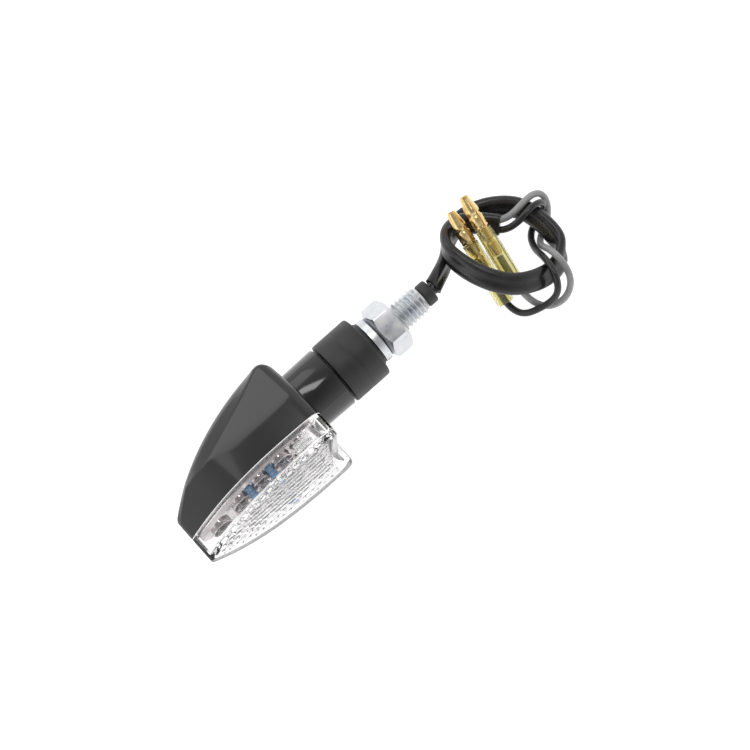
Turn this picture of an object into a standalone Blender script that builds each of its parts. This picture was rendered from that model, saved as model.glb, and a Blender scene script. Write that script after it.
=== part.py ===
"""LED arrow indicator for a motorcycle, on a short rubber stalk with a hollow M8 bolt and its coiled lead.

Frame: the origin is the centre of the rubber collar's end face, the face that meets the bracket.
+X runs along the hollow bolt towards the lead, the head lies towards -X, the lens faces -Y and +Z is up.
"Depth" below is the distance in front of the bolt's axis, so a point at depth d has y = -d.
"""

from math import cos, pi, radians, sin, sqrt

import bmesh
import bpy
from mathutils import Matrix, Vector

MM = 0.001
GAP = 0.3 * MM  # clearance between neighbouring pieces

# Head, housing and lens together
HEAD_TIP_X = -64.0 * MM
HEAD_BASE_X = -21.0 * MM
HEAD_HALF_HEIGHT = 13.8 * MM
TIP_HALF_HEIGHT = 1.0 * MM
LENS_DEPTH = 16.4 * MM
TIP_LENS_DROP = 0.8 * MM
BACK_DEPTH = 12.6 * MM
TIP_BACK_RISE = 14.3 * MM
BACK_SHARE = 0.82  # the back's height as a share of the side's
CREASE_SHARE = 0.635  # where the side starts to lean in, from back to parting line
BACK_EDGE_RADIUS = 3.5 * MM
FRONT_EDGE_RADIUS = 0.8 * MM
SHOULDER_RADIUS = 3.2 * MM
BASE_HOLLOW = 2.3 * MM
PARTING_DEPTH = 9.3 * MM
PARTING_RISE = 1.2 * MM
HOUSING_WALL = 1.8 * MM
LENS_WALL = 1.4 * MM
LENS_FRONT = 1.8 * MM

# Stalk: the housing's neck, the rubber collar and its plug
COLLAR_RADIUS = 8.75 * MM
COLLAR_LENGTH = 10.7 * MM
COLLAR_EDGE = 0.4 * MM
SPIGOT_RADIUS = 6.4 * MM
SPIGOT_LENGTH = 0.9 * MM
NECK_RADIUS = 8.6 * MM
NECK_ROOT_RADIUS = 8.4 * MM
NECK_WALL = 2.1 * MM
PLUG_LENGTH = 6.5 * MM
SNAP_HEIGHT = 0.7 * MM
SNAP_WIDTH = 1.2 * MM
SNAP_SETBACK = 3.0 * MM
LEAD_PASSAGE_RADIUS = 1.9 * MM

# Hollow bolt, washer and nut
BOLT_RADIUS = 3.95 * MM
BOLT_BORE_RADIUS = 2.4 * MM
BOLT_REACH = 18.2 * MM
BOLT_CHAMFER = 0.6 * MM
THREAD_CLEARANCE = 0.25 * MM  # between the bolt and what turns or slides on it
FLANGE_RADIUS = 6.0 * MM
FLANGE_THICKNESS = 1.8 * MM
FLANGE_SETBACK = 1.6 * MM
WASHER_INNER_RADIUS = BOLT_RADIUS + THREAD_CLEARANCE
WASHER_OUTER_RADIUS = WASHER_INNER_RADIUS + 2.0 * MM
WASHER_THICKNESS = 2.0 * MM
WASHER_SPLIT = 0.8 * MM
NUT_ACROSS_FLATS = 13.0 * MM
NUT_THICKNESS = 6.5 * MM
NUT_BORE_RADIUS = BOLT_RADIUS + THREAD_CLEARANCE
NUT_TURN = radians(20.0)  # a flat faces up and towards the lens side

# Grommet in the bolt's end
GROMMET_RADIUS = 3.2 * MM
GROMMET_LENGTH = 2.7 * MM
GROMMET_STEM = 3.0 * MM

# Inside the head
BOARD_DEPTH = 5.0 * MM
BOARD_THICKNESS = 1.2 * MM
REFLECTOR_DEPTH = 8.2 * MM
REFLECTOR_FLOOR = 1.0 * MM
REFLECTOR_RIM = 2.0 * MM
REFLECTOR_WALL = 0.9 * MM
LED_RADIUS = 1.5 * MM
LED_FLANGE_RADIUS = 1.75 * MM
LED_FLANGE = 0.9 * MM
LED_HEIGHT = 5.2 * MM
LED_PITCH = 6.6 * MM
LED_FIRST_X = -28.8 * MM
LED_ROWS = (
    (0, (-7.0, 0.0, 7.0)),
    (1, (-7.0, 0.0, 7.0)),
    (2, (-5.9, 0.0, 5.9)),
    (3, (-4.0, 4.0)),
    (4.15, (0.0,)),
)
CUP_FLARE = 0.9 * MM
RESISTOR_RADIUS = 1.1 * MM
RESISTOR_LENGTH = 3.8 * MM
RESISTOR_STAND = 3.0 * MM
RESISTOR_LEAD_RADIUS = 0.35 * MM
RESISTOR_PLACES = ((2.545, 7.0), (1.515, 8.4), (1.515, -8.4))  # column and height, as for the LEDs
SCREW_PLACES = ((0.5, 3.5), (3.515, 0.0))  # column and height
SCREW_RADIUS = 0.9 * MM
SCREW_HEAD_RADIUS = 1.5 * MM
SCREW_HEAD = 1.2 * MM
SCREW_LENGTH = 5.0 * MM
POST_RADIUS = 2.3 * MM
DIODE_PLACE = (0.1, -5.0)  # column and height
DIODE_SIZE = (1.6 * MM, 1.1 * MM, 3.4 * MM)

# Lead: inner cores, sleeve, single wires and bullet connectors
CORE_RADIUS = 0.6 * MM
CORE_OFFSET = 0.75 * MM
SLEEVE_RADIUS = 2.05 * MM
WIRE_RADIUS = 0.9 * MM
CONNECTOR_LENGTH = 27.0 * MM
BULLET_RADIUS = 1.9 * MM
BULLET_TAIL_RADIUS = 1.3 * MM
BULLET_LENGTH = 17.0 * MM
INSULATOR_START = 9.4 * MM
INSULATOR_RADIUS = 2.3 * MM
INSULATOR_NOSE_RADIUS = 2.15 * MM
INSULATOR_BORE_RADIUS = 1.65 * MM

# The lead's routes in millimetres, chosen by hand: one loose turn beside the bolt's end.
SLEEVE_ROUTE = (
    (22.9, 0.0, 0.0), (24.6, 0.5, -0.6), (27.4, 3.5, -2.6), (31.0, 6.2, -5.5), (33.7, 9.7, -7.7),
    (37.8, 11.8, -9.1),
    (42.5, 12.2, -9.8), (47.3, 10.7, -10.0), (51.4, 7.5, -9.6), (54.0, 3.8, -9.2), (55.1, -1.0, -9.2),
    (55.3, -6.0, -9.6), (54.6, -10.1, -10.6), (52.2, -13.1, -10.4), (47.9, -14.6, -8.6),
    (42.8, -14.7, -5.2), (38.0, -12.9, -2.6), (34.7, -9.4, -1.2), (32.3, -4.6, -0.2), (31.1, 0.3, 0.3),
    (31.2, 4.7, 0.2), (33.5, 8.3, -1.5), (37.3, 9.9, -3.9), (41.0, 9.0, -5.6), (44.0, 6.3, -6.4),
    (46.6, 3.2, -6.6),
)
GREY_ROUTE = (
    (48.15, 3.15, -6.9), (50.4, 2.9, -6.2), (54.0, 3.2, -5.6), (57.6, 3.6, -6.2), (60.2, 3.3, -8.4),
    (60.6, 1.6, -11.0), (59.2, -0.2, -12.9), (56.6, -2.3, -13.0), (53.7, -3.8, -12.6),
    (51.7, -6.5, -10.6), (51.2, -10.6, -7.8), (51.0, -14.6, -6.3), (50.7, -17.7, -7.6),
    (49.4, -19.9, -10.2), (46.5, -21.0, -12.2), (43.5, -20.4, -13.0), (41.3, -18.9, -13.1),
    (39.9, -16.9, -12.2), (39.2, -14.7, -10.3),
)
BLACK_ROUTE = (
    (47.0, 1.4, -6.3), (48.9, 0.6, -5.9), (52.3, 0.3, -5.4), (55.9, 0.5, -5.5), (58.1, 0.6, -8.1),
    (57.6, 0.3, -11.4), (55.2, -0.1, -12.9), (52.7, -1.1, -12.8), (50.5, -3.5, -11.6),
    (49.1, -7.2, -9.6), (48.5, -12.1, -6.4), (47.3, -16.6, -3.6), (45.9, -19.0, -5.6),
    (44.1, -19.5, -9.2), (41.2, -19.4, -10.2), (38.2, -18.4, -11.0), (36.1, -17.0, -12.4),
    (34.9, -14.6, -12.9),
)
GREY_BULLET = ((42.8, 11.0, 5.0), (38.9, -12.5, -8.8))  # tip and wire end, in millimetres
BLACK_BULLET = ((38.2, 10.9, 2.8), (34.7, -11.0, -11.8))


# ---------------------------------------------------------------- helpers
def clearScene():
    for old in list(bpy.data.objects):
        bpy.data.objects.remove(old, do_unlink=True)


def makeMaterial(name, colour, roughness, metallic=0.0):
    material = bpy.data.materials.new(name)
    material.use_nodes = True
    shader = material.node_tree.nodes["Principled BSDF"]
    shader.inputs["Base Color"].default_value = (*colour, 1.0)
    shader.inputs["Roughness"].default_value = roughness
    shader.inputs["Metallic"].default_value = metallic
    return material


def finishMesh(name, bm, material=None, smoothAngle=35.0):
    """Turns a bmesh into an object with outward normals, smooth where its faces meet at a shallow angle."""
    bmesh.ops.remove_doubles(bm, verts=bm.verts, dist=1e-6)
    bmesh.ops.recalc_face_normals(bm, faces=bm.faces)
    mesh = bpy.data.meshes.new(name)
    bm.to_mesh(mesh)
    bm.free()
    mesh.shade_smooth()
    mesh.set_sharp_from_angle(angle=radians(smoothAngle))
    if material:
        mesh.materials.append(material)
    obj = bpy.data.objects.new(name, mesh)
    bpy.context.scene.collection.objects.link(obj)
    return obj


def asCutter(obj):
    obj.hide_render = True
    obj.display_type = "WIRE"
    return obj


def boolean(obj, operation, other):
    modifier = obj.modifiers.new(other.name, "BOOLEAN")
    modifier.operation = operation
    modifier.solver = "EXACT"
    modifier.object = asCutter(other)


def along(start, direction):
    """The placing of a turned shape whose own axis is +X: start is where its axis value 0 lies."""
    turn = Vector((1, 0, 0)).rotation_difference(Vector(direction))
    return Matrix.Translation(Vector(start)) @ turn.to_matrix().to_4x4()


def addTurned(bm, profile, steps, place):
    """Spins the closed profile of (distance along the axis, radius) once round +X, then places it."""
    points = [bm.verts.new((at, 0.0, radius)) for at, radius in profile]
    edges = [bm.edges.new((a, b)) for a, b in zip(points, points[1:] + points[:1])]
    onAxis = [e for e in edges if all(v.co.z < 1e-9 for v in e.verts)]
    turned = [e for e in edges if e not in onAxis]
    made = bmesh.ops.spin(
        bm, geom=points + turned, cent=(0, 0, 0), axis=(1, 0, 0), angle=2 * pi, steps=steps, use_merge=True
    )
    bmesh.ops.delete(bm, geom=onAxis, context="EDGES")
    found = {v for v in made["geom_last"] if isinstance(v, bmesh.types.BMVert)} | set(points)
    for vert in list(found):
        stack = [vert]
        while stack:
            for edge in stack.pop().link_edges:
                for end in edge.verts:
                    if end not in found:
                        found.add(end)
                        stack.append(end)
    bmesh.ops.transform(bm, matrix=place, verts=list(found))


def makeTurned(name, profile, material=None, steps=32, place=Matrix()):
    bm = bmesh.new()
    addTurned(bm, profile, steps, place)
    return finishMesh(name, bm, material)


def makeBox(name, low, high, material=None):
    bm = bmesh.new()
    size = Vector(high) - Vector(low)
    middle = (Vector(high) + Vector(low)) / 2
    bmesh.ops.create_cube(bm, size=1.0, matrix=Matrix.Translation(middle) @ Matrix.Diagonal((*size, 1.0)))
    return finishMesh(name, bm, material)


# ---------------------------------------------------------------- head shape
def share(x):
    """0 at the head's base, 1 at its tip."""
    return (HEAD_BASE_X - x) / (HEAD_BASE_X - HEAD_TIP_X)


def placeAt(t):
    return HEAD_BASE_X - t * (HEAD_BASE_X - HEAD_TIP_X)


def halfHeight(t):
    return TIP_HALF_HEIGHT + (HEAD_HALF_HEIGHT - TIP_HALF_HEIGHT) * max(0.0, 1 - t**3)


def lensDepth(t):
    return LENS_DEPTH - TIP_LENS_DROP * t**4


def backDepth(t):
    return BACK_DEPTH - TIP_BACK_RISE * t**2.15


def partingDepth(t):
    return PARTING_DEPTH + PARTING_RISE * t


def rounding(distance, radius):
    """How far a rounded edge has fallen back, at a distance from the end face."""
    inward = max(0.0, radius - distance)
    return radius - sqrt(radius**2 - inward**2)


def halfSection(x, sideInset, frontInset):
    """(depth, z) points of one half of the head's section at x, from the front round to the back."""
    t = share(x)
    fromBase = HEAD_BASE_X - sideInset - x
    shoulder = rounding(fromBase, SHOULDER_RADIUS)
    half = halfHeight(t) - sideInset - shoulder * 0.8
    front = lensDepth(t) - frontInset - rounding(fromBase, FRONT_EDGE_RADIUS)
    back = backDepth(t) - sideInset - shoulder
    crease = -back + CREASE_SHARE * (partingDepth(t) + back)
    backHalf = half * BACK_SHARE
    radius = min(BACK_EDGE_RADIUS, 0.8 * backHalf)
    edge = min(FRONT_EDGE_RADIUS, 0.5 * half)
    points = [(front, 0.0)]
    for step in range(3):
        angle = step * pi / 4
        points.append((front - edge + edge * cos(angle), half - edge + edge * sin(angle)))
    points.append(((front - edge + crease) / 2, half))
    points.append((crease, half))
    lean = -back + radius
    points.append(((crease + lean) / 2, (half + backHalf) / 2 + 0.05 * (half - backHalf)))
    for step in range(5):
        angle = step * pi / 8
        points.append((lean - radius * sin(angle), backHalf - radius + radius * cos(angle)))
    points.append((-back, 0.0))
    return points


def headStations(sideInset):
    """The section places along the head, closest together at the rounded shoulder and at the tip."""
    tip = 1.0
    while halfHeight(tip) < sideInset + 0.55 * MM or placeAt(tip) < HEAD_TIP_X + sideInset - 1e-9:
        tip -= 0.002
    shoulder = [HEAD_BASE_X - sideInset - d * SHOULDER_RADIUS for d in (0.0, 0.08, 0.25, 0.5, 0.75, 1.0)]
    start = share(shoulder[-1])
    steps = (0.1, 0.22, 0.34, 0.46, 0.57, 0.67, 0.76, 0.84, 0.91, 0.96, 1.0)
    body = [placeAt(start + (tip - start) * s) for s in steps]
    return shoulder + body


def makeHead(name, sideInset, frontInset, material=None):
    """The head's outer shape, moved in by sideInset all round and by frontInset at the lens's face."""
    bm = bmesh.new()
    loops = []
    for x in headStations(sideInset):
        hollow = BASE_HOLLOW * max(0.0, 1 - (HEAD_BASE_X - sideInset - x) / (9 * MM))
        half = halfSection(x, sideInset, frontInset)
        widest = max(z for depth, z in half)
        outline = [(x - hollow * (1 - (z / widest) ** 1.6), -depth, z) for depth, z in half]
        upper = [bm.verts.new(point) for point in outline]
        lower = [bm.verts.new((point[0], point[1], -point[2])) for point in outline[1:-1]]
        loops.append((upper, lower))
    for (upper, lower), (nextUpper, nextLower) in zip(loops, loops[1:]):
        ring = upper + lower[::-1]
        nextRing = nextUpper + nextLower[::-1]
        for i in range(len(ring)):
            j = (i + 1) % len(ring)
            bm.faces.new((ring[i], ring[j], nextRing[j], nextRing[i]))
    for upper, lower in (loops[0], loops[-1]):
        middle = [bm.verts.new((upper[0].co.x, vert.co.y, 0.0)) for vert in upper[1:-1]]
        for side in (upper[1:-1], lower):
            bm.faces.new((upper[0], side[0], middle[0]))
            bm.faces.new((upper[-1], side[-1], middle[-1]))
            for i in range(len(middle) - 1):
                bm.faces.new((side[i], side[i + 1], middle[i + 1], middle[i]))
    return finishMesh(name, bm, material)


def makeDepthBlock(name, lowDepth, highDepth, rise=0.0):
    """A block over the whole head between two depths; rise tips its faces to follow the parting line."""
    bm = bmesh.new()
    reach = 5 * MM
    corners = []
    for x in (HEAD_BASE_X + reach, HEAD_TIP_X - reach):
        for depth in (lowDepth, highDepth):
            for z in (-HEAD_HALF_HEIGHT - reach, HEAD_HALF_HEIGHT + reach):
                corners.append(bm.verts.new((x, -(depth + rise * share(x)), z)))
    bmesh.ops.convex_hull(bm, input=corners)
    return finishMesh(name, bm)


# ---------------------------------------------------------------- pieces of the head
def neckProfile():
    return [
        (HEAD_BASE_X - BASE_HOLLOW - 0.6 * MM, 0.0),
        (-COLLAR_LENGTH - GAP, 0.0),
        (-COLLAR_LENGTH - GAP, NECK_RADIUS),
        (HEAD_BASE_X - BASE_HOLLOW - 0.6 * MM, NECK_ROOT_RADIUS),
    ]


def neckBoreProfile():
    """The bore the rubber plug snaps into: an inner ridge drops into the plug's groove."""
    bore = NECK_RADIUS - NECK_WALL
    ridge = -COLLAR_LENGTH - SNAP_SETBACK
    return [
        (HEAD_BASE_X - 6.5 * MM, 0.0),
        (-COLLAR_LENGTH + 1.0 * MM, 0.0),
        (-COLLAR_LENGTH + 1.0 * MM, bore),
        (ridge, bore),
        (ridge, bore - SNAP_HEIGHT),
        (ridge - SNAP_WIDTH, bore - SNAP_HEIGHT),
        (ridge - SNAP_WIDTH, bore),
        (HEAD_BASE_X - 6.5 * MM, bore),
    ]


def columnPlaces(places):
    """Places given by LED column and height in millimetres, as x and z."""
    return [(LED_FIRST_X - column * LED_PITCH, z * MM) for column, z in places]


def makeHousing(material):
    housing = makeHead("housing", 0.0, 0.0, material)
    front = makeDepthBlock("cut_housing_front", PARTING_DEPTH - GAP / 2, 30 * MM, PARTING_RISE)
    boolean(housing, "DIFFERENCE", front)
    boolean(housing, "DIFFERENCE", makeHead("cut_housing_inside", HOUSING_WALL, HOUSING_WALL))
    boolean(housing, "UNION", makeTurned("add_neck", neckProfile(), steps=48))
    boolean(housing, "DIFFERENCE", makeTurned("cut_neck_bore", neckBoreProfile(), steps=48))
    posts = bmesh.new()
    holes = bmesh.new()
    top = BOARD_DEPTH - GAP
    for x, z in columnPlaces(SCREW_PLACES):
        place = along((x, 0, z), (0, -1, 0))
        bottom = -backDepth(share(x)) + HOUSING_WALL / 2
        addTurned(posts, [(bottom, 0.0), (top, 0.0), (top, POST_RADIUS), (bottom, POST_RADIUS)], 16, place)
        floor = top - SCREW_LENGTH
        radius = SCREW_RADIUS + GAP
        addTurned(holes, [(floor, 0.0), (top + MM, 0.0), (top + MM, radius), (floor, radius)], 16, place)
    boolean(housing, "UNION", finishMesh("add_posts", posts))
    boolean(housing, "DIFFERENCE", finishMesh("cut_post_holes", holes))
    return housing


def makeLens(material):
    lens = makeHead("lens", 0.0, 0.0, material)
    back = makeDepthBlock("cut_lens_back", -30 * MM, PARTING_DEPTH + GAP / 2, PARTING_RISE)
    boolean(lens, "DIFFERENCE", back)
    boolean(lens, "DIFFERENCE", makeHead("cut_lens_inside", LENS_WALL, LENS_FRONT))
    return lens


def ledPlaces():
    return columnPlaces((column, z) for column, heights in LED_ROWS for z in heights)


def makeReflector(material):
    """A silvered tray whose rim reaches up inside the lens, with a flared cup round each LED."""
    inset = HOUSING_WALL + GAP
    reflector = makeHead("reflector", inset, inset, material)
    top = REFLECTOR_DEPTH + REFLECTOR_RIM
    boolean(reflector, "DIFFERENCE", makeDepthBlock("cut_reflector_back", -30 * MM, REFLECTOR_DEPTH))
    boolean(reflector, "DIFFERENCE", makeDepthBlock("cut_reflector_front", top, 30 * MM))
    bowl = makeHead("cut_reflector_bowl", inset + REFLECTOR_WALL, 0.0)
    boolean(bowl, "DIFFERENCE", makeDepthBlock("cut_bowl_back", -30 * MM, REFLECTOR_DEPTH + REFLECTOR_FLOOR))
    boolean(reflector, "DIFFERENCE", bowl)
    bm = bmesh.new()
    low = REFLECTOR_DEPTH - MM
    high = REFLECTOR_DEPTH + REFLECTOR_FLOOR + 0.1 * MM
    narrow = LED_FLANGE_RADIUS + GAP / 2
    for x, z in ledPlaces():
        cup = [(low, 0.0), (high, 0.0), (high, narrow + CUP_FLARE), (REFLECTOR_DEPTH, narrow), (low, narrow)]
        addTurned(bm, cup, 14, along((x, 0, z), (0, -1, 0)))
    boolean(reflector, "DIFFERENCE", finishMesh("cut_reflector_cups", bm))
    holes = bmesh.new()
    for x, z in columnPlaces(RESISTOR_PLACES):
        radius = RESISTOR_RADIUS + GAP
        hole = [(low, 0.0), (high, 0.0), (high, radius), (low, radius)]
        addTurned(holes, hole, 12, along((x, 0, z), (0, -1, 0)))
    boolean(reflector, "DIFFERENCE", finishMesh("cut_reflector_holes", holes))
    return reflector


def makeBoard(material):
    board = makeHead("circuit_board", HOUSING_WALL + 3 * GAP, HOUSING_WALL, material)
    boolean(board, "DIFFERENCE", makeDepthBlock("cut_board_back", -30 * MM, BOARD_DEPTH))
    boolean(board, "DIFFERENCE", makeDepthBlock("cut_board_front", BOARD_DEPTH + BOARD_THICKNESS, 30 * MM))
    for number, (x, z) in enumerate(columnPlaces(SCREW_PLACES), 1):
        radius = SCREW_RADIUS + GAP
        hole = [(0.0, 0.0), (10 * MM, 0.0), (10 * MM, radius), (0.0, radius)]
        drill = makeTurned(f"cut_board_{number}", hole, steps=16, place=along((x, 0, z), (0, -1, 0)))
        boolean(board, "DIFFERENCE", drill)
    return board


def boardTop():
    return BOARD_DEPTH + BOARD_THICKNESS + GAP


def makeLeds(material):
    foot = boardTop()
    flange = foot + LED_FLANGE
    profile = [(foot, 0.0), (foot, LED_FLANGE_RADIUS), (flange, LED_FLANGE_RADIUS), (flange, LED_RADIUS)]
    dome = foot + LED_HEIGHT - LED_RADIUS
    profile += [(dome + LED_RADIUS * sin(a * pi / 6), LED_RADIUS * cos(a * pi / 6)) for a in range(3)]
    profile.append((dome + LED_RADIUS, 0.0))
    for number, (x, z) in enumerate(ledPlaces(), 1):
        makeTurned(f"led_{number:02d}", profile[::-1], material, 14, along((x, 0, z), (0, -1, 0)))


def makeResistors(material):
    """Resistors standing on the board, each passing through a hole in the reflector."""
    foot = boardTop()
    body = foot + RESISTOR_STAND
    end = body + RESISTOR_LENGTH
    edge = 0.35 * MM
    profile = [
        (foot, 0.0),
        (foot, RESISTOR_LEAD_RADIUS),
        (body, RESISTOR_LEAD_RADIUS),
        (body, RESISTOR_RADIUS - edge),
        (body + edge, RESISTOR_RADIUS),
        (end - edge, RESISTOR_RADIUS),
        (end, RESISTOR_RADIUS - edge),
        (end, 0.0),
    ]
    for number, (x, z) in enumerate(columnPlaces(RESISTOR_PLACES), 1):
        makeTurned(f"resistor_{number}", profile[::-1], material, 14, along((x, 0, z), (0, -1, 0)))


def makeBoardScrews(material):
    foot = boardTop()
    profile = [
        (foot - SCREW_LENGTH + GAP, 0.0),
        (foot - SCREW_LENGTH + GAP, SCREW_RADIUS),
        (foot, SCREW_RADIUS),
        (foot, SCREW_HEAD_RADIUS),
        (foot + 0.6 * SCREW_HEAD, SCREW_HEAD_RADIUS),
        (foot + SCREW_HEAD, 0.6 * SCREW_HEAD_RADIUS),
        (foot + SCREW_HEAD, 0.0),
    ]
    for number, (x, z) in enumerate(columnPlaces(SCREW_PLACES), 1):
        makeTurned(f"board_screw_{number}", profile[::-1], material, 16, along((x, 0, z), (0, -1, 0)))


def makeDiode(material):
    ((x, z),) = columnPlaces([DIODE_PLACE])
    width, height, length = DIODE_SIZE
    top = BOARD_DEPTH - GAP
    makeBox("diode", (x - width / 2, -top, z - length / 2), (x + width / 2, -top + height, z + length / 2), material)


# ---------------------------------------------------------------- stalk and bolt
def makeCollar(material):
    """Rubber collar with a plug that snaps into the neck, a pocket for the bolt's flange and a spigot for the bracket."""
    plug = NECK_RADIUS - NECK_WALL - GAP
    groove = -COLLAR_LENGTH - SNAP_SETBACK
    end = -COLLAR_LENGTH - PLUG_LENGTH
    pocketNear = -FLANGE_SETBACK + GAP
    pocketFar = -FLANGE_SETBACK - FLANGE_THICKNESS - GAP
    profile = [
        (end, LEAD_PASSAGE_RADIUS),
        (pocketFar, LEAD_PASSAGE_RADIUS),
        (pocketFar, FLANGE_RADIUS + GAP),
        (pocketNear, FLANGE_RADIUS + GAP),
        (pocketNear, BOLT_RADIUS + GAP),
        (SPIGOT_LENGTH, BOLT_RADIUS + GAP),
        (SPIGOT_LENGTH, SPIGOT_RADIUS),
        (0.0, SPIGOT_RADIUS),
        (0.0, COLLAR_RADIUS - COLLAR_EDGE),
        (-COLLAR_EDGE, COLLAR_RADIUS),
        (-COLLAR_LENGTH, COLLAR_RADIUS),
        (-COLLAR_LENGTH, plug),
        (groove + GAP, plug),
        (groove + GAP, plug - SNAP_HEIGHT),
        (groove - SNAP_WIDTH - GAP, plug - SNAP_HEIGHT),
        (groove - SNAP_WIDTH - GAP, plug),
        (end + COLLAR_EDGE, plug),
        (end, plug - COLLAR_EDGE),
    ]
    return makeTurned("stalk_collar", profile, material, 48)


def makeBolt(material):
    flangeFar = -FLANGE_SETBACK - FLANGE_THICKNESS
    profile = [
        (flangeFar, BOLT_BORE_RADIUS),
        (BOLT_REACH, BOLT_BORE_RADIUS),
        (BOLT_REACH, BOLT_RADIUS - BOLT_CHAMFER),
        (BOLT_REACH - BOLT_CHAMFER, BOLT_RADIUS),
        (-FLANGE_SETBACK, BOLT_RADIUS),
        (-FLANGE_SETBACK, FLANGE_RADIUS),
        (flangeFar, FLANGE_RADIUS),
    ]
    return makeTurned("hollow_bolt", profile, material, 40)


def washerStart():
    return SPIGOT_LENGTH + GAP


def nutStart():
    return washerStart() + WASHER_THICKNESS + GAP


def makeLockWasher(material):
    """A split spring washer; the split crosses it at a slant on the lens side."""
    start = washerStart()
    end = start + WASHER_THICKNESS
    profile = [
        (start, WASHER_INNER_RADIUS),
        (end, WASHER_INNER_RADIUS),
        (end, WASHER_OUTER_RADIUS),
        (start, WASHER_OUTER_RADIUS),
    ]
    washer = makeTurned("lock_washer", profile, material, 40)
    bm = bmesh.new()
    slant = Matrix.Rotation(radians(25.0), 4, "Y")
    size = Matrix.Diagonal((4 * WASHER_THICKNESS, 4 * MM, WASHER_SPLIT, 1.0))
    middle = Matrix.Translation((start + WASHER_THICKNESS / 2, -(WASHER_INNER_RADIUS + WASHER_OUTER_RADIUS) / 2, 0))
    bmesh.ops.create_cube(bm, size=1.0, matrix=middle @ slant @ size)
    boolean(washer, "DIFFERENCE", finishMesh("cut_washer_split", bm))
    return washer


def makeNut(material):
    """Hexagon with both ends chamfered, so the corners fall back in arcs."""
    start = nutStart()
    corner = NUT_ACROSS_FLATS / sqrt(3)
    bm = bmesh.new()
    lower = []
    upper = []
    for i in range(6):
        angle = NUT_TURN + (i + 0.5) * pi / 3
        y = -corner * sin(angle)
        z = corner * cos(angle)
        lower.append(bm.verts.new((start, y, z)))
        upper.append(bm.verts.new((start + NUT_THICKNESS, y, z)))
    bm.faces.new(lower)
    bm.faces.new(upper)
    for i in range(6):
        j = (i + 1) % 6
        bm.faces.new((lower[i], lower[j], upper[j], upper[i]))
    nut = finishMesh("hex_nut", bm, material)
    flat = 0.95 * NUT_ACROSS_FLATS / 2
    fall = (corner + 0.3 * MM - flat) * 0.55
    end = start + NUT_THICKNESS
    lathe = [
        (start, 0.0),
        (start, flat),
        (start + fall, corner + 0.3 * MM),
        (end - fall, corner + 0.3 * MM),
        (end, flat),
        (end, 0.0),
    ]
    boolean(nut, "INTERSECT", makeTurned("keep_nut", lathe[::-1], steps=48))
    bore = [(start - MM, 0.0), (end + MM, 0.0), (end + MM, NUT_BORE_RADIUS), (start - MM, NUT_BORE_RADIUS)]
    boolean(nut, "DIFFERENCE", makeTurned("cut_nut_bore", bore, steps=40))
    return nut


def grommetStart():
    return BOLT_REACH + GAP


def makeGrommet(material):
    start = grommetStart()
    end = start + GROMMET_LENGTH
    hole = CORE_OFFSET + CORE_RADIUS + GAP
    stem = BOLT_BORE_RADIUS - GAP
    edge = 0.6 * MM
    profile = [
        (start - GROMMET_STEM, hole),
        (end, hole),
        (end, GROMMET_RADIUS - edge),
        (end - edge, GROMMET_RADIUS),
        (start, GROMMET_RADIUS),
        (start, stem),
        (start - GROMMET_STEM, stem),
    ]
    return makeTurned("end_grommet", profile, material, 28)


# ---------------------------------------------------------------- the lead
def smoothPoints(route, spacing):
    """Points a given distance apart on a smooth curve through the route's own points, with a square start."""
    ends = [2 * route[0] - route[1], *route, 2 * route[-1] - route[-2]]
    dense = []
    for a, b, c, d in zip(ends, ends[1:], ends[2:], ends[3:]):
        for step in range(16):
            t = step / 16
            dense.append(0.5 * (2 * b + (c - a) * t + (2 * a - 5 * b + 4 * c - d) * t**2 + (3 * b - a - 3 * c + d) * t**3))
    dense.append(route[-1])
    lengths = [0.0]
    for a, b in zip(dense, dense[1:]):
        lengths.append(lengths[-1] + (b - a).length)
    count = max(2, round(lengths[-1] / spacing))
    points = []
    at = 0
    for step in range(count + 1):
        want = lengths[-1] * step / count
        while at < len(dense) - 2 and lengths[at + 1] < want:
            at += 1
        part = (want - lengths[at]) / max(1e-12, lengths[at + 1] - lengths[at])
        points.append(dense[at].lerp(dense[at + 1], min(1.0, part)))
    points.insert(1, points[0] + (dense[1] - dense[0]).normalized() * 0.4 * spacing)
    return points


def makeTube(name, route, radius, spacing, material):
    curve = bpy.data.curves.new(name, "CURVE")
    curve.dimensions = "3D"
    curve.bevel_depth = radius
    curve.bevel_resolution = 2
    curve.use_fill_caps = True
    points = smoothPoints(route, spacing)
    line = curve.splines.new("POLY")
    line.points.add(len(points) - 1)
    for point, place in zip(line.points, points):
        point.co = (*place, 1.0)
    line.use_smooth = True
    curve.materials.append(material)
    obj = bpy.data.objects.new(name, curve)
    bpy.context.scene.collection.objects.link(obj)
    return obj


def inMetres(route):
    return [Vector(point) * MM for point in route]


def makeCores(black, grey):
    """The two cores run from the back of the board through the collar, the bolt and the grommet."""
    end = grommetStart() + GROMMET_LENGTH
    board = BOARD_DEPTH - GAP - CORE_RADIUS
    for name, side, material in (("core_black", -1, black), ("core_grey", 1, grey)):
        z = side * CORE_OFFSET
        route = [
            Vector((HEAD_BASE_X - 6.5 * MM, -board, z)),
            Vector((HEAD_BASE_X - 4.5 * MM, -board + 0.4 * MM, z)),
            Vector((HEAD_BASE_X - 1.5 * MM, -1.6 * MM, z)),
            Vector((HEAD_BASE_X + 2.0 * MM, 0.0, z)),
            Vector((0.0, 0.0, z)),
            Vector((end, 0.0, z)),
        ]
        makeTube(name, route, CORE_RADIUS, 2.5 * MM, material)


def connectorAxis(ends):
    tip, tail = inMetres(ends)
    return tip, (tail - tip).normalized()


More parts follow.
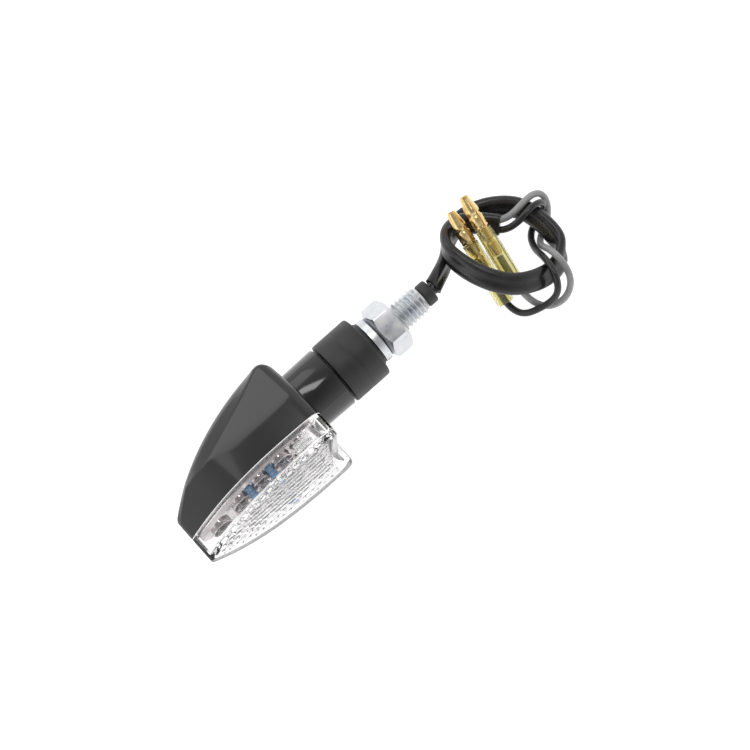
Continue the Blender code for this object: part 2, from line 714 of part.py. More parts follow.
def makeConnector(colour, ends, brass, vinyl):
    """A hollow brass bullet and the vinyl sleeve over its crimped tail, on one axis from the bullet's tip."""
    tip, direction = connectorAxis(ends)
    place = along(tip, direction)
    r = BULLET_RADIUS
    profile = [
        (1.2 * MM, 0.0),
        (0.0, 0.5 * r),
        (0.0, 0.62 * r),
        (2.0 * MM, r),
        (4.0 * MM, 0.97 * r),
        (4.9 * MM, 0.8 * r),
        (5.8 * MM, 0.97 * r),
        (INSULATOR_START - GAP, r),
        (INSULATOR_START - GAP, BULLET_TAIL_RADIUS),
        (BULLET_LENGTH, BULLET_TAIL_RADIUS),
        (BULLET_LENGTH, 0.0),
    ]
    makeTurned(f"bullet_{colour}", profile[::-1], brass, 16, place)
    step = INSULATOR_START + 5.2 * MM
    bore = INSULATOR_BORE_RADIUS
    cover = [
        (INSULATOR_START, bore),
        (CONNECTOR_LENGTH, bore),
        (CONNECTOR_LENGTH, INSULATOR_RADIUS),
        (step, INSULATOR_RADIUS),
        (step - 0.6 * MM, INSULATOR_NOSE_RADIUS),
        (INSULATOR_START, INSULATOR_NOSE_RADIUS),
    ]
    makeTurned(f"insulator_{colour}", cover, vinyl, 16, place)


def makeWire(colour, route, ends, material):
    """A single wire that ends inside its connector's sleeve, against the bullet's crimped tail."""
    tip, direction = connectorAxis(ends)
    inside = [tip + direction * s for s in (CONNECTOR_LENGTH, 23 * MM, BULLET_LENGTH + 1.5 * GAP)]
    makeTube(f"wire_{colour}", inMetres(route) + inside, WIRE_RADIUS, 2.2 * MM, material)


def main():
    clearScene()
    blackGloss = makeMaterial("black_gloss", (0.012, 0.012, 0.014), 0.12)
    clear = makeMaterial("clear_acrylic", (0.9, 0.92, 0.92), 0.05)
    silver = makeMaterial("silvered_plastic", (0.8, 0.8, 0.82), 0.15, 1.0)
    laminate = makeMaterial("board_laminate", (0.75, 0.77, 0.72), 0.5)
    ledClear = makeMaterial("led_epoxy", (0.75, 0.8, 0.85), 0.08)
    blueBody = makeMaterial("blue_lacquer", (0.05, 0.16, 0.42), 0.35)
    blackMatt = makeMaterial("black_moulding", (0.015, 0.015, 0.015), 0.5)
    rubber = makeMaterial("black_rubber", (0.02, 0.02, 0.02), 0.65)
    zinc = makeMaterial("zinc_plate", (0.72, 0.74, 0.76), 0.3, 1.0)
    brass = makeMaterial("brass", (0.83, 0.6, 0.27), 0.25, 1.0)
    vinyl = makeMaterial("clear_vinyl", (0.85, 0.8, 0.5), 0.2)
    blackWire = makeMaterial("black_wire", (0.02, 0.02, 0.02), 0.4)
    greyWire = makeMaterial("grey_wire", (0.42, 0.42, 0.43), 0.4)

    makeHousing(blackGloss)
    makeLens(clear)
    makeReflector(silver)
    makeBoard(laminate)
    makeLeds(ledClear)
    makeResistors(blueBody)
    makeBoardScrews(zinc)
    makeDiode(blackMatt)

    makeCollar(rubber)
    makeBolt(zinc)
    makeLockWasher(zinc)
    makeNut(zinc)
    makeGrommet(rubber)

    makeCores(blackWire, greyWire)
    start = Vector((grommetStart() + GROMMET_LENGTH + GAP, 0, 0))
    makeTube("cable_sleeve", [start, *inMetres(SLEEVE_ROUTE)], SLEEVE_RADIUS, 3.5 * MM, blackWire)
    makeWire("grey", GREY_ROUTE, GREY_BULLET, greyWire)
    makeWire("black", BLACK_ROUTE, BLACK_BULLET, blackWire)
    makeConnector("grey", GREY_BULLET, brass, vinyl)
    makeConnector("black", BLACK_BULLET, brass, vinyl)


main()
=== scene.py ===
from math import cos, exp, pi, radians, sin, sqrt

import bmesh
import bpy
from mathutils import Matrix, Vector


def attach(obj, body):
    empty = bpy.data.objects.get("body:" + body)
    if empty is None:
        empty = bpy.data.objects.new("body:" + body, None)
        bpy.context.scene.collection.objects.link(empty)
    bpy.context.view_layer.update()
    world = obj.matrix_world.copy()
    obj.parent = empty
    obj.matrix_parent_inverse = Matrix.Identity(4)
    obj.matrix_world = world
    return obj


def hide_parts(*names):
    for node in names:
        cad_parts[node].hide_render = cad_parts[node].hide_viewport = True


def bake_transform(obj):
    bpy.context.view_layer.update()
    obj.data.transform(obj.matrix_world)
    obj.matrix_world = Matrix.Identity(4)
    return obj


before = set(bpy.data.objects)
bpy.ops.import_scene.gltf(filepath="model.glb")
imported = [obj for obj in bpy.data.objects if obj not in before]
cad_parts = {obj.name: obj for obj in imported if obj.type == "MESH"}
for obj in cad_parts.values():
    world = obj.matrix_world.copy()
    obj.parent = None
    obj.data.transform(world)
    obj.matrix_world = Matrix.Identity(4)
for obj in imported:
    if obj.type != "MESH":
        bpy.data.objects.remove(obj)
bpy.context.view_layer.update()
print("frame loaded")
mm = 0.001


# where the camera stands: angles in degrees, distances in mm
view = {
    "turn": 6.0,
    "fromLensSide": 20.0,
    "roll": 41.5,
    "distance": 600.0,
    "lens": 116.07,
    "aim": (-3.27, -6.7),
    "clipStart": 0.01,
    "clipEnd": 20,
}


def link(obj):
    bpy.context.scene.collection.objects.link(obj)
    return obj


def makeCamera():
    turn, side, roll = (radians(view[key]) for key in ("turn", "fromLensSide", "roll"))
    along = Vector((cos(turn), -sin(turn) * sin(side), sin(turn) * cos(side)))
    across = Vector((0, cos(side), sin(side)))
    back = Vector((-sin(turn), -cos(turn) * sin(side), cos(turn) * cos(side)))
    right = cos(roll) * along - sin(roll) * across
    up = sin(roll) * along + cos(roll) * across
    data = bpy.data.cameras.new("camera")
    data.lens = view["lens"]
    data.clip_start = view["clipStart"]
    data.clip_end = view["clipEnd"]
    camera = link(bpy.data.objects.new("camera", data))
    spot = (view["aim"][0] * along + view["aim"][1] * across + view["distance"] * back) * mm
    camera.matrix_world = Matrix.Translation(spot) @ Matrix((right, up, back)).transposed().to_4x4()
    bpy.context.scene.camera = camera
    return back


viewBack = makeCamera()
print("camera placed")


def newGroup(name, inputs, outputs):
    # an empty shader group with number sockets, and its two end nodes
    group = bpy.data.node_groups.new(name, "ShaderNodeTree")
    for label, value in inputs:
        socket = group.interface.new_socket(label, in_out="INPUT", socket_type="NodeSocketFloat")
        socket.default_value = value
    for label in outputs:
        group.interface.new_socket(label, in_out="OUTPUT", socket_type="NodeSocketFloat")
    return group, group.nodes.new("NodeGroupInput"), group.nodes.new("NodeGroupOutput")


def noiseNode(tree, scale, detail=4.0, roughness=0.55, stretch=None):
    coordinates = tree.nodes.new("ShaderNodeTexCoord")
    mapping = tree.nodes.new("ShaderNodeMapping")
    if stretch:
        mapping.inputs["Scale"].default_value = stretch
    tree.links.new(coordinates.outputs["Object"], mapping.inputs["Vector"])
    noise = tree.nodes.new("ShaderNodeTexNoise")
    noise.inputs["Scale"].default_value = scale
    noise.inputs["Detail"].default_value = detail
    noise.inputs["Roughness"].default_value = roughness
    tree.links.new(mapping.outputs["Vector"], noise.inputs["Vector"])
    return noise


def rangeNode(tree, source, low, high, toLow, toHigh):
    node = tree.nodes.new("ShaderNodeMapRange")
    node.inputs["From Min"].default_value = low
    node.inputs["From Max"].default_value = high
    node.inputs["To Min"].default_value = toLow
    node.inputs["To Max"].default_value = toHigh
    tree.links.new(source, node.inputs["Value"])
    return node


grainDefaults = {
    "fineScale": 2500.0,
    "fineDetail": 3.0,
    "slowScale": 120.0,
    "slowDetail": 2.0,
    "slowRange": (0.3, 0.7),  # the part of the slow noise that moves the roughness
    "tintRange": (0.32, 0.68),  # and the part that moves the tint
}


def surfaceGrain():
    # a fine grain and a slow unevenness, both on object coordinates
    inputs = [("Fine Scale", grainDefaults["fineScale"]), ("Slow Scale", grainDefaults["slowScale"])]
    group, start, end = newGroup("surfaceGrain", inputs, ["Fine", "Slow"])
    fine = noiseNode(group, grainDefaults["fineScale"], grainDefaults["fineDetail"])
    slow = noiseNode(group, grainDefaults["slowScale"], grainDefaults["slowDetail"])
    group.links.new(start.outputs["Fine Scale"], fine.inputs["Scale"])
    group.links.new(start.outputs["Slow Scale"], slow.inputs["Scale"])
    group.links.new(fine.outputs["Fac"], end.inputs["Fine"])
    group.links.new(slow.outputs["Fac"], end.inputs["Slow"])
    return group


grainGroup = surfaceGrain()


def newMaterial(name, base, roughness, metallic=0.0, **sockets):
    # further sockets by name, with _ for a space
    material = bpy.data.materials.new(name)
    material.use_nodes = True
    shader = material.node_tree.nodes["Principled BSDF"]
    shader.inputs["Base Color"].default_value = (*base, 1)
    shader.inputs["Roughness"].default_value = roughness
    shader.inputs["Metallic"].default_value = metallic
    for label, value in sockets.items():
        shader.inputs[label.replace("_", " ")].default_value = value
    return material, material.node_tree, shader


def weather(tree, shader, look):
    # roughness and tint drift with the slow noise; the bump takes the fine noise unless a look says otherwise
    grain = tree.nodes.new("ShaderNodeGroup")
    grain.node_tree = grainGroup
    grain.inputs["Fine Scale"].default_value = look["fine"]
    grain.inputs["Slow Scale"].default_value = look["slow"]
    rough = rangeNode(tree, grain.outputs["Slow"], *grainDefaults["slowRange"], *look["rough"])
    tree.links.new(rough.outputs["Result"], shader.inputs["Roughness"])
    if look.get("bump"):
        bump = tree.nodes.new("ShaderNodeBump")
        bump.inputs["Strength"].default_value = look["bump"]
        bump.inputs["Distance"].default_value = look["depth"] * mm
        tree.links.new(grain.outputs[look.get("height", "Fine")], bump.inputs["Height"])
        tree.links.new(bump.outputs["Normal"], shader.inputs["Normal"])
    if look.get("tints"):
        ramp = tree.nodes.new("ShaderNodeValToRGB")
        for element, place, tint in zip(ramp.color_ramp.elements, grainDefaults["tintRange"], look["tints"]):
            element.position = place
            element.color = (*tint, 1)
        tree.links.new(grain.outputs["Slow"], ramp.inputs["Fac"])
        tree.links.new(ramp.outputs["Color"], shader.inputs["Base Color"])


# scales are per metre, depths in mm; each tint pair is the darker and the lighter end
finishes = {
    "glossBlack": {
        "fine": 900, "slow": 70, "rough": (0.1, 0.16),
        "bump": 0.03, "depth": 0.01, "height": "Slow",
        "tints": ((0.004, 0.004, 0.0045), (0.008, 0.008, 0.009)),
    },
    "rubber": {
        "fine": 2600, "slow": 180, "rough": (0.42, 0.55),
        "bump": 0.35, "depth": 0.03,
        "tints": ((0.012, 0.012, 0.013), (0.02, 0.02, 0.021)),
    },
    "blackVinyl": {
        "fine": 1500, "slow": 260, "rough": (0.2, 0.34),
        "bump": 0.1, "depth": 0.02,
        "tints": ((0.008, 0.008, 0.009), (0.016, 0.016, 0.017)),
    },
    "greyVinyl": {
        "fine": 1500, "slow": 260, "rough": (0.3, 0.42),
        "bump": 0.12, "depth": 0.02,
        "tints": ((0.24, 0.24, 0.245), (0.33, 0.33, 0.335)),
    },
    "zinc": {
        "fine": 1800, "slow": 400, "rough": (0.26, 0.42),
        "bump": 0.2, "depth": 0.02,
        "tints": ((0.55, 0.58, 0.62), (0.69, 0.7, 0.7)),
    },
    "brass": {
        "fine": 1600, "slow": 350, "rough": (0.14, 0.3),
        "bump": 0.12, "depth": 0.02,
        "tints": ((0.67, 0.46, 0.18), (0.89, 0.69, 0.34)),
    },
    "silver": {
        "fine": 900, "slow": 240, "rough": (0.06, 0.16),
        "bump": 0.12, "depth": 0.03, "height": "Slow",
        "tints": ((0.5, 0.465, 0.475), (0.64, 0.6, 0.605)),
    },
    "clear": {
        "fine": 700, "slow": 160, "rough": (0.0, 0.03),
    },
    "ledEpoxy": {
        "fine": 700, "slow": 300, "rough": (0.02, 0.06),
    },
    "clearVinyl": {
        "fine": 900, "slow": 300, "rough": (0.06, 0.14),
        "bump": 0.02, "depth": 0.03,
        "tints": ((0.82, 0.76, 0.34), (0.93, 0.89, 0.58)),
    },
    "board": {
        "fine": 1500, "slow": 300, "rough": (0.35, 0.5),
        "tints": ((0.62, 0.64, 0.6), (0.74, 0.76, 0.72)),
    },
    "blackMoulding": {
        "fine": 2400, "slow": 300, "rough": (0.4, 0.55),
        "bump": 0.3, "depth": 0.02,
        "tints": ((0.012, 0.012, 0.012), (0.02, 0.02, 0.02)),
    },
    "blueLacquer": {
        "fine": 1200, "slow": 300, "rough": (0.2, 0.3),
    },
    # near-white tints: painted highlight for the bright line at the lens's edge
    "paintedHighlight": {
        "fine": 1200, "slow": 300, "rough": (0.25, 0.4),
        "tints": ((0.88, 0.88, 0.88), (0.96, 0.96, 0.96)),
    },
}


def makeFinish(name, base, metallic=0.0, **sockets):
    material, tree, shader = newMaterial(name, base, 0.3, metallic, **sockets)
    weather(tree, shader, finishes[name])
    return material


glossBlack = makeFinish(
    "glossBlack", (0.01, 0.01, 0.011), Specular_IOR_Level=0.5, Coat_Weight=0.3, Coat_Roughness=0.05,
)
rubber = makeFinish("rubber", (0.02, 0.02, 0.02))
blackVinyl = makeFinish("blackVinyl", (0.012, 0.012, 0.013))
greyVinyl = makeFinish("greyVinyl", (0.1, 0.1, 0.1))
zinc = makeFinish("zinc", (0.75, 0.77, 0.78), 1.0)
brass = makeFinish("brass", (0.85, 0.58, 0.22), 1.0)
silver = makeFinish("silver", (0.88, 0.87, 0.88), 1.0)
clear = makeFinish("clear", (1.0, 1.0, 1.0), Transmission_Weight=1.0, IOR=1.49)
ledEpoxy = makeFinish("ledEpoxy", (0.93, 0.96, 1.0), Transmission_Weight=1.0, IOR=1.52)
clearVinyl = makeFinish("clearVinyl", (0.9, 0.86, 0.5), Transmission_Weight=0.93, IOR=1.5)
boardFinish = makeFinish("board", (0.7, 0.72, 0.68))
blackMoulding = makeFinish("blackMoulding", (0.015, 0.015, 0.015))
# near white: the strip along the parting is a painted highlight
highlightWhite = makeFinish("paintedHighlight", (0.95, 0.95, 0.95))


resistorBands = {
    "from": -13.3,
    "to": -9.5,
    "lacquer": (0.1, 0.33, 0.62),
    "bands": (
        (0.18, 0.26, (0.26, 0.13, 0.26)),
        (0.4, 0.48, (0.05, 0.15, 0.3)),
        (0.62, 0.7, (0.18, 0.2, 0.28)),
    ),
}


def makeResistorFinish():
    # colour bands run round the body between two depths
    material, tree, shader = newMaterial("blueLacquer", (0.1, 0.3, 0.6), 0.25, Coat_Weight=0.4)
    weather(tree, shader, finishes["blueLacquer"])
    coordinates = tree.nodes.new("ShaderNodeTexCoord")
    split = tree.nodes.new("ShaderNodeSeparateXYZ")
    tree.links.new(coordinates.outputs["Object"], split.inputs["Vector"])
    low, high = resistorBands["from"] * mm, resistorBands["to"] * mm
    place = rangeNode(tree, split.outputs["Y"], low, high, 0.0, 1.0)
    ramp = tree.nodes.new("ShaderNodeValToRGB")
    ramp.color_ramp.interpolation = "CONSTANT"
    stops = [(0.0, resistorBands["lacquer"])]
    for begin, end, colour in resistorBands["bands"]:
        stops += [(begin, colour), (end, resistorBands["lacquer"])]
    ramp.color_ramp.elements[1].position = stops[-1][0]
    ramp.color_ramp.elements[1].color = (*stops[-1][1], 1)
    ramp.color_ramp.elements[0].color = (*stops[0][1], 1)
    for position, colour in stops[1:-1]:
        ramp.color_ramp.elements.new(position).color = (*colour, 1)
    tree.links.new(place.outputs["Result"], ramp.inputs["Fac"])
    tree.links.new(ramp.outputs["Color"], shader.inputs["Base Color"])
    return material


blueLacquer = makeResistorFinish()
print("finishes made")


joinDistance = 1e-6  # metres: points this near become one


def settle(obj, body, stands):
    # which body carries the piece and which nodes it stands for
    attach(obj, body)
    if stands:
        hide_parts(*stands)


def finishPiece(name, bm, material, body, stands=(), smooth=35.0, recalculate=True):
    # turns a bmesh into a smooth-shaded object and says which nodes it stands for
    bmesh.ops.remove_doubles(bm, verts=bm.verts, dist=joinDistance)
    if recalculate:
        bmesh.ops.recalc_face_normals(bm, faces=bm.faces)
    mesh = bpy.data.meshes.new(name)
    bm.to_mesh(mesh)
    bm.free()
    mesh.shade_smooth()
    mesh.set_sharp_from_angle(angle=radians(smooth))
    obj = link(bpy.data.objects.new(name, mesh))
    if material:
        mesh.materials.append(material)
    if body:
        settle(obj, body, stands)
    return obj


def placeAlong(start, direction):
    # takes the +X axis to a line from start in the direction
    turn = Vector((1, 0, 0)).rotation_difference(Vector(direction))
    return Matrix.Translation(Vector(start)) @ turn.to_matrix().to_4x4()


def mergeInto(bm, part):
    # joins a second bmesh to the first and frees it
    holder = bpy.data.meshes.new("part")
    part.to_mesh(holder)
    part.free()
    bm.from_mesh(holder)
    bpy.data.meshes.remove(holder)


def addTurned(bm, profile, steps=48, place=Matrix()):
    # profile: (distance along the axis, radius) in mm, closed and spun round +X
    part = bmesh.new()
    points = [part.verts.new((at * mm, 0, radius * mm)) for at, radius in profile]
    pairs = zip(points, points[1:] + points[:1])
    edges = [part.edges.new(pair) for pair in pairs if not all(v.co.z < 1e-9 for v in pair)]
    bmesh.ops.spin(
        part, geom=points + edges, cent=(0, 0, 0), axis=(1, 0, 0), angle=2 * pi, steps=steps, use_merge=True,
    )
    bmesh.ops.remove_doubles(part, verts=part.verts, dist=joinDistance)
    bmesh.ops.recalc_face_normals(part, faces=part.faces)
    bmesh.ops.transform(part, matrix=place, verts=part.verts)
    mergeInto(bm, part)


def roundCorners(outline, radii, steps):
    # the outline's corners become arcs; radii and steps go by corner, and the two ends stay
    made = [Vector(outline[0])]
    for before, corner, after, radius, count in zip(outline, outline[1:], outline[2:], radii, steps):
        before, corner, after = Vector(before), Vector(corner), Vector(after)
        reach = min(radius, 0.48 * (before - corner).length, 0.48 * (after - corner).length)
        first = corner + (before - corner).normalized() * reach
        last = corner + (after - corner).normalized() * reach
        for step in range(count + 1):
            t = step / count
            made.append(first.lerp(corner, t).lerp(corner.lerp(last, t), t))
    made.append(Vector(outline[-1]))
    return made


def bridgeRings(bm, rings):
    # skins the rings one after the other and closes both ends
    for first, second in zip(rings, rings[1:]):
        edges = [bm.edges.get(pair) for ring in (first, second) for pair in zip(ring, ring[1:] + ring[:1])]
        bmesh.ops.bridge_loops(bm, edges=edges)
    for ring in (rings[0], rings[-1]):
        bmesh.ops.contextual_create(bm, geom=ring)


def closedRing(bm, points):
    ring = [bm.verts.new(point) for point in points]
    for pair in zip(ring, ring[1:] + ring[:1]):
        bm.edges.new(pair)
    return ring


def applied(obj):
    # bakes the live modifiers into the mesh
    bpy.context.view_layer.update()
    graph = bpy.context.evaluated_depsgraph_get()
    evaluated = obj.evaluated_get(graph)
    mesh = bpy.data.meshes.new_from_object(evaluated, preserve_all_data_layers=True, depsgraph=graph)
    obj.modifiers.clear()
    obj.data = mesh


def cut(obj, other, operation="DIFFERENCE"):
    # the second object is used up
    modifier = obj.modifiers.new("shape", "BOOLEAN")
    modifier.operation = operation
    modifier.solver = "EXACT"
    modifier.object = other
    applied(obj)
    bpy.data.objects.remove(other, do_unlink=True)


def turnedPiece(name, profile, steps, material, body, stands, smooth, place=Matrix()):
    bm = bmesh.new()
    addTurned(bm, profile, steps, place)
    return finishPiece(name, bm, material, body, stands, smooth)


def cutTurned(obj, profile, steps, operation="DIFFERENCE", place=Matrix(), material=None):
    # takes a turned shape from the piece, or adds it
    cut(obj, turnedPiece("cutter", profile, steps, material, None, (), 35, place), operation)


def resmooth(obj, angle):
    # cleans and shades a piece again after its cuts
    bm = bmesh.new()
    bm.from_mesh(obj.data)
    bmesh.ops.remove_doubles(bm, verts=bm.verts, dist=joinDistance)
    bmesh.ops.dissolve_degenerate(bm, edges=bm.edges, dist=joinDistance)
    bm.to_mesh(obj.data)
    bm.free()
    obj.data.shade_smooth()
    obj.data.set_sharp_from_angle(angle=radians(angle))


# the lead: the cut-back skin at the grommet is a little narrower than the free sleeve
lead = {
    "sleeveWidth": 5.7,
    "sleeveThickness": 2.9,
    "exitWidth": 5.2,
    "exitThickness": 3.0,
    "coresWidth": 3.7,
    "coresThickness": 2.0,
    "widensOver": 14.0,
    "sides": 44,
    "squareness": (0.78, 0.8),
    "creaseWidth": 0.16,
    "creaseAtExit": 0.3,
    "creaseFades": 0.14,
    "creaseSway": (0.04, 0.55),
    "coresCrease": 0.6,
    "endTaper": 0.3,
    "bandAxis": (0.45, 0.62, 0.55),
    "wireRadius": 0.9,
    "sleeveSpacing": 0.8,
    "wireSpacing": 0.7,
    "curveSteps": 24,
    "easingPasses": 8,
}
# points along the middle of each cord, in mm
sleeveRoute = [
    (21.5, 0.0, 0.0), (23.0, 0.4, -0.1), (25.3, 1.7, -1.1), (28.0, 3.4, -3.2), (30.9, 5.9, -5.6),
    (33.9, 9.3, -7.7), (37.8, 11.8, -9.1), (42.5, 12.2, -9.8), (47.3, 10.7, -10.0), (51.4, 7.5, -9.6),
    (54.0, 3.8, -9.2), (55.1, -1.0, -9.2), (55.3, -6.0, -9.6), (54.6, -10.1, -10.6),
    (52.2, -13.1, -10.4), (47.9, -14.6, -8.6), (42.8, -14.7, -5.2), (38.0, -12.9, -2.6),
    (34.7, -9.4, -1.2), (32.3, -4.6, -0.2), (31.1, 0.3, 0.3), (31.2, 4.7, 0.2), (33.5, 8.3, -1.5),
    (37.3, 9.9, -3.9), (41.0, 9.0, -5.6), (44.0, 6.3, -6.4), (46.6, 3.2, -6.6),
]
greyRoute = [
    (46.9, 4.5, -5.8), (48.2, 3.4, -5.95), (50.5, 3.0, -6.0), (54.0, 3.2, -5.6), (57.6, 3.6, -6.2),
    (60.2, 3.3, -8.4), (60.6, 1.6, -11.0), (59.2, -0.2, -12.9), (56.6, -2.3, -13.0),
    (53.2, -4.0, -13.0), (51.1, -6.6, -10.8), (51.1, -10.2, -6.9), (51.0, -14.2, -5.4),
    (50.7, -17.7, -7.6), (49.4, -19.9, -10.2), (46.5, -21.0, -12.2), (43.5, -20.4, -13.0),
    (41.3, -18.9, -13.1), (39.9, -16.9, -12.2), (39.2, -14.7, -10.3),
]
blackRoute = [
    (45.1, 3.3, -7.3), (46.4, 1.8, -7.3), (48.9, 0.5, -6.3), (52.3, 0.3, -5.2), (56.2, 0.6, -4.9),
    (59.0, 0.7, -8.3), (57.8, 0.5, -11.8), (55.2, -0.1, -12.9), (52.7, -1.1, -12.8),
    (50.5, -3.5, -11.6), (49.1, -7.2, -9.2), (48.4, -11.4, -5.4), (47.7, -15.4, -4.0),
    (46.7, -18.2, -4.6), (45.2, -20.1, -7.0), (43.2, -20.2, -9.4), (40.6, -19.4, -10.6),
    (38.2, -18.4, -11.4), (36.1, -17.0, -12.5), (34.9, -14.6, -12.9),
]
# nose and tail of each terminal with its insulator
connectors = {
    "grey": ((42.8, 11.0, 5.0), (38.9, -12.5, -8.8)),
    "black": ((38.2, 10.9, 2.8), (34.7, -11.0, -11.8)),
}
connectorLength = 27.0
wireEnds = (connectorLength, 23.0, 17.5)  # how far from the nose the wire's last points lie


def smoothLine(route, spacing):
    # even points on a smooth curve through the route's own points
    route = [Vector(point) for point in route]
    ends = [2 * route[0] - route[1], *route, 2 * route[-1] - route[-2]]
    dense = []
    for a, b, c, d in zip(ends, ends[1:], ends[2:], ends[3:]):
        for step in range(lead["curveSteps"]):
            t = step / lead["curveSteps"]
            square, cube = 2 * a - 5 * b + 4 * c - d, 3 * b - a - 3 * c + d
            dense.append(0.5 * (2 * b + (c - a) * t + square * t**2 + cube * t**3))
    dense.append(route[-1])
    lengths = [0.0]
    for a, b in zip(dense, dense[1:]):
        lengths.append(lengths[-1] + (b - a).length)
    count = max(2, round(lengths[-1] / spacing))
    points = []
    at = 0
    for step in range(count + 1):
        want = lengths[-1] * step / count
        while at < len(dense) - 2 and lengths[at + 1] < want:
            at += 1
        part = (want - lengths[at]) / max(1e-12, lengths[at + 1] - lengths[at])
        points.append(dense[at].lerp(dense[at + 1], min(1.0, part)))
    # a few passes of averaging ease the tightest bends; the ends stay
    for _ in range(lead["easingPasses"]):
        middle = [0.25 * (a + c) + 0.5 * b for a, b, c in zip(points[1:], points[2:], points[3:])]
        points = points[:2] + middle + points[-1:]
    return points, sum((b - a).length for a, b in zip(points, points[1:]))


def softStep(low, high, value):
    # 0 below low, 1 above high and a soft rise between
    t = min(1.0, max(0.0, (value - low) / (high - low)))
    return t * t * (3 - 2 * t)


def makeSleeve():
    # two cores under one flattened skin, with a shallow crease along each broad side
    path, length = smoothLine(sleeveRoute, lead["sleeveSpacing"])
    axis = Vector(lead["bandAxis"]).normalized()
    wideCurve, thinCurve = lead["squareness"]
    bm = bmesh.new()
    rings = []

    def addRing(number, width, thickness, crease):
        ahead = path[min(number + 1, len(path) - 1)] - path[max(number - 1, 0)]
        tangent = ahead.normalized()
        wide = (axis - axis.dot(tangent) * tangent).normalized()
        thin = tangent.cross(wide)
        points = []
        for step in range(lead["sides"]):
            angle = 2 * pi * step / lead["sides"]
            across = 0.5 * width * (abs(cos(angle)) ** wideCurve) * (1 if cos(angle) > 0 else -1)
            rise = 0.5 * thickness * (abs(sin(angle)) ** thinCurve) * (1 if sin(angle) > 0 else -1)
            rise *= 1 - crease * exp(-((across / (lead["creaseWidth"] * width)) ** 2))
            points.append((path[number] + wide * across + thin * rise) * mm)
        rings.append(closedRing(bm, points))

    # the skin is cut back just outside the grommet, so the two cores show for a moment
    for number in (0, 1):
        addRing(number, lead["coresWidth"], lead["coresThickness"], lead["coresCrease"])
    sway, swayRate = lead["creaseSway"]
    for number in range(1, len(path)):
        at = length * number / (len(path) - 1)
        fullness = softStep(0.0, lead["widensOver"], at)
        width = lead["exitWidth"] + (lead["sleeveWidth"] - lead["exitWidth"]) * fullness
        thickness = lead["exitThickness"] + (lead["sleeveThickness"] - lead["exitThickness"]) * fullness
        if number == len(path) - 1:
            width, thickness = width - lead["endTaper"], thickness - lead["endTaper"]
        crease = lead["creaseAtExit"] - lead["creaseFades"] * fullness + sway * sin(at * swayRate)
        addRing(number, width, thickness, crease)
    bridgeRings(bm, rings)
    sleeve = finishPiece("cableSleeve", bm, blackVinyl, "stalk", ["cable_sleeve"], 50)
    return sleeve, [tuple(point * mm) for point in path], length


def connectorFrame(colour):
    tip, tail = (Vector(point) for point in connectors[colour])
    return tip, (tail - tip).normalized()


def makeWire(colour, route, material):
    tip, direction = connectorFrame(colour)
    route = [Vector(point) for point in route] + [tip + direction * at for at in wireEnds]
    path, length = smoothLine(route, lead["wireSpacing"])
    data = bpy.data.curves.new(f"wire_{colour}_visible", "CURVE")
    data.dimensions = "3D"
    data.bevel_depth = lead["wireRadius"] * mm
    data.bevel_resolution = 4
    data.use_fill_caps = True
    line = data.splines.new("POLY")
    line.points.add(len(path) - 1)
    for point, place in zip(line.points, path):
        point.co = (*(place * mm), 1)
    line.use_smooth = True
    data.materials.append(material)
    wire = link(bpy.data.objects.new(f"wire_{colour}_visible", data))
    settle(wire, "stalk", [f"wire_{colour}"])
    return wire, path[0], length


# profiles from here on are (distance along the axis, radius) in mm
bullet = {
    "profile": (
        (2.6, 0.0), (2.6, 0.8), (0.12, 0.88), (0.0, 1.0), (0.08, 1.14), (3.5, 1.8), (3.9, 1.9),
        (4.5, 1.9), (4.75, 1.83), (5.0, 1.68), (5.35, 1.64), (5.6, 1.7), (5.85, 1.86), (6.1, 1.9),
        (8.1, 1.9), (8.25, 1.82), (8.5, 1.82), (8.65, 1.9), (8.9, 1.9), (9.05, 1.82), (9.1, 1.5),
        (12.2, 1.4), (12.6, 1.05), (13.2, 1.0), (13.7, 1.3), (16.6, 1.3), (17.0, 1.1), (17.0, 0.0),
    ),
    "seamSize": (5.4, 0.32, 1.0),
    "seamMiddle": 7.1,
    "seamRadius": 1.9,
    "seamTurn": -24,
}
insulator = {
    "profile": (
        (9.4, 1.66), (9.4, 1.95), (9.5, 2.12), (14.0, 2.14), (14.8, 2.26), (15.2, 2.3), (26.7, 2.3),
        (26.9, 2.24), (27.0, 2.1), (27.0, 1.72), (26.8, 1.66), (20.0, 1.6),
    ),
}


def makeBullet(colour):
    # rolled brass terminal: hollow nose, waist, barrel, stop bead, then the crimp inside the vinyl
    tip, direction = connectorFrame(colour)
    place = placeAlong(tip * mm, direction)
    rolled = turnedPiece("rolled", bullet["profile"], 48, brass, None, (), 35, place)
    # the rolled seam, open between the nose and the stop bead
    seam = bmesh.new()
    size = Matrix.Diagonal((*(side * mm for side in bullet["seamSize"]), 1))
    bmesh.ops.create_cube(seam, size=1.0, matrix=size)
    out = (viewBack - viewBack.dot(direction) * direction).normalized()
    out = (Matrix.Rotation(radians(bullet["seamTurn"]), 3, direction) @ out).normalized()
    turn = Matrix((direction, out.cross(direction), out)).transposed().to_4x4()
    middle = tip + direction * bullet["seamMiddle"] + out * bullet["seamRadius"]
    bmesh.ops.transform(seam, matrix=Matrix.Translation(middle * mm) @ turn, verts=seam.verts)
    cut(rolled, finishPiece("seam", seam, None, None))
    resmooth(rolled, 30)
    rolled.name = f"bullet_{colour}_visible"
    settle(rolled, "stalk", [f"bullet_{colour}"])
    return rolled


def makeInsulator(colour):
    tip, direction = connectorFrame(colour)
    name = f"insulator_{colour}"
    return turnedPiece(
        f"{name}_visible", insulator["profile"], 48, clearVinyl, "stalk", [name], 30,
        placeAlong(tip * mm, direction),
    )


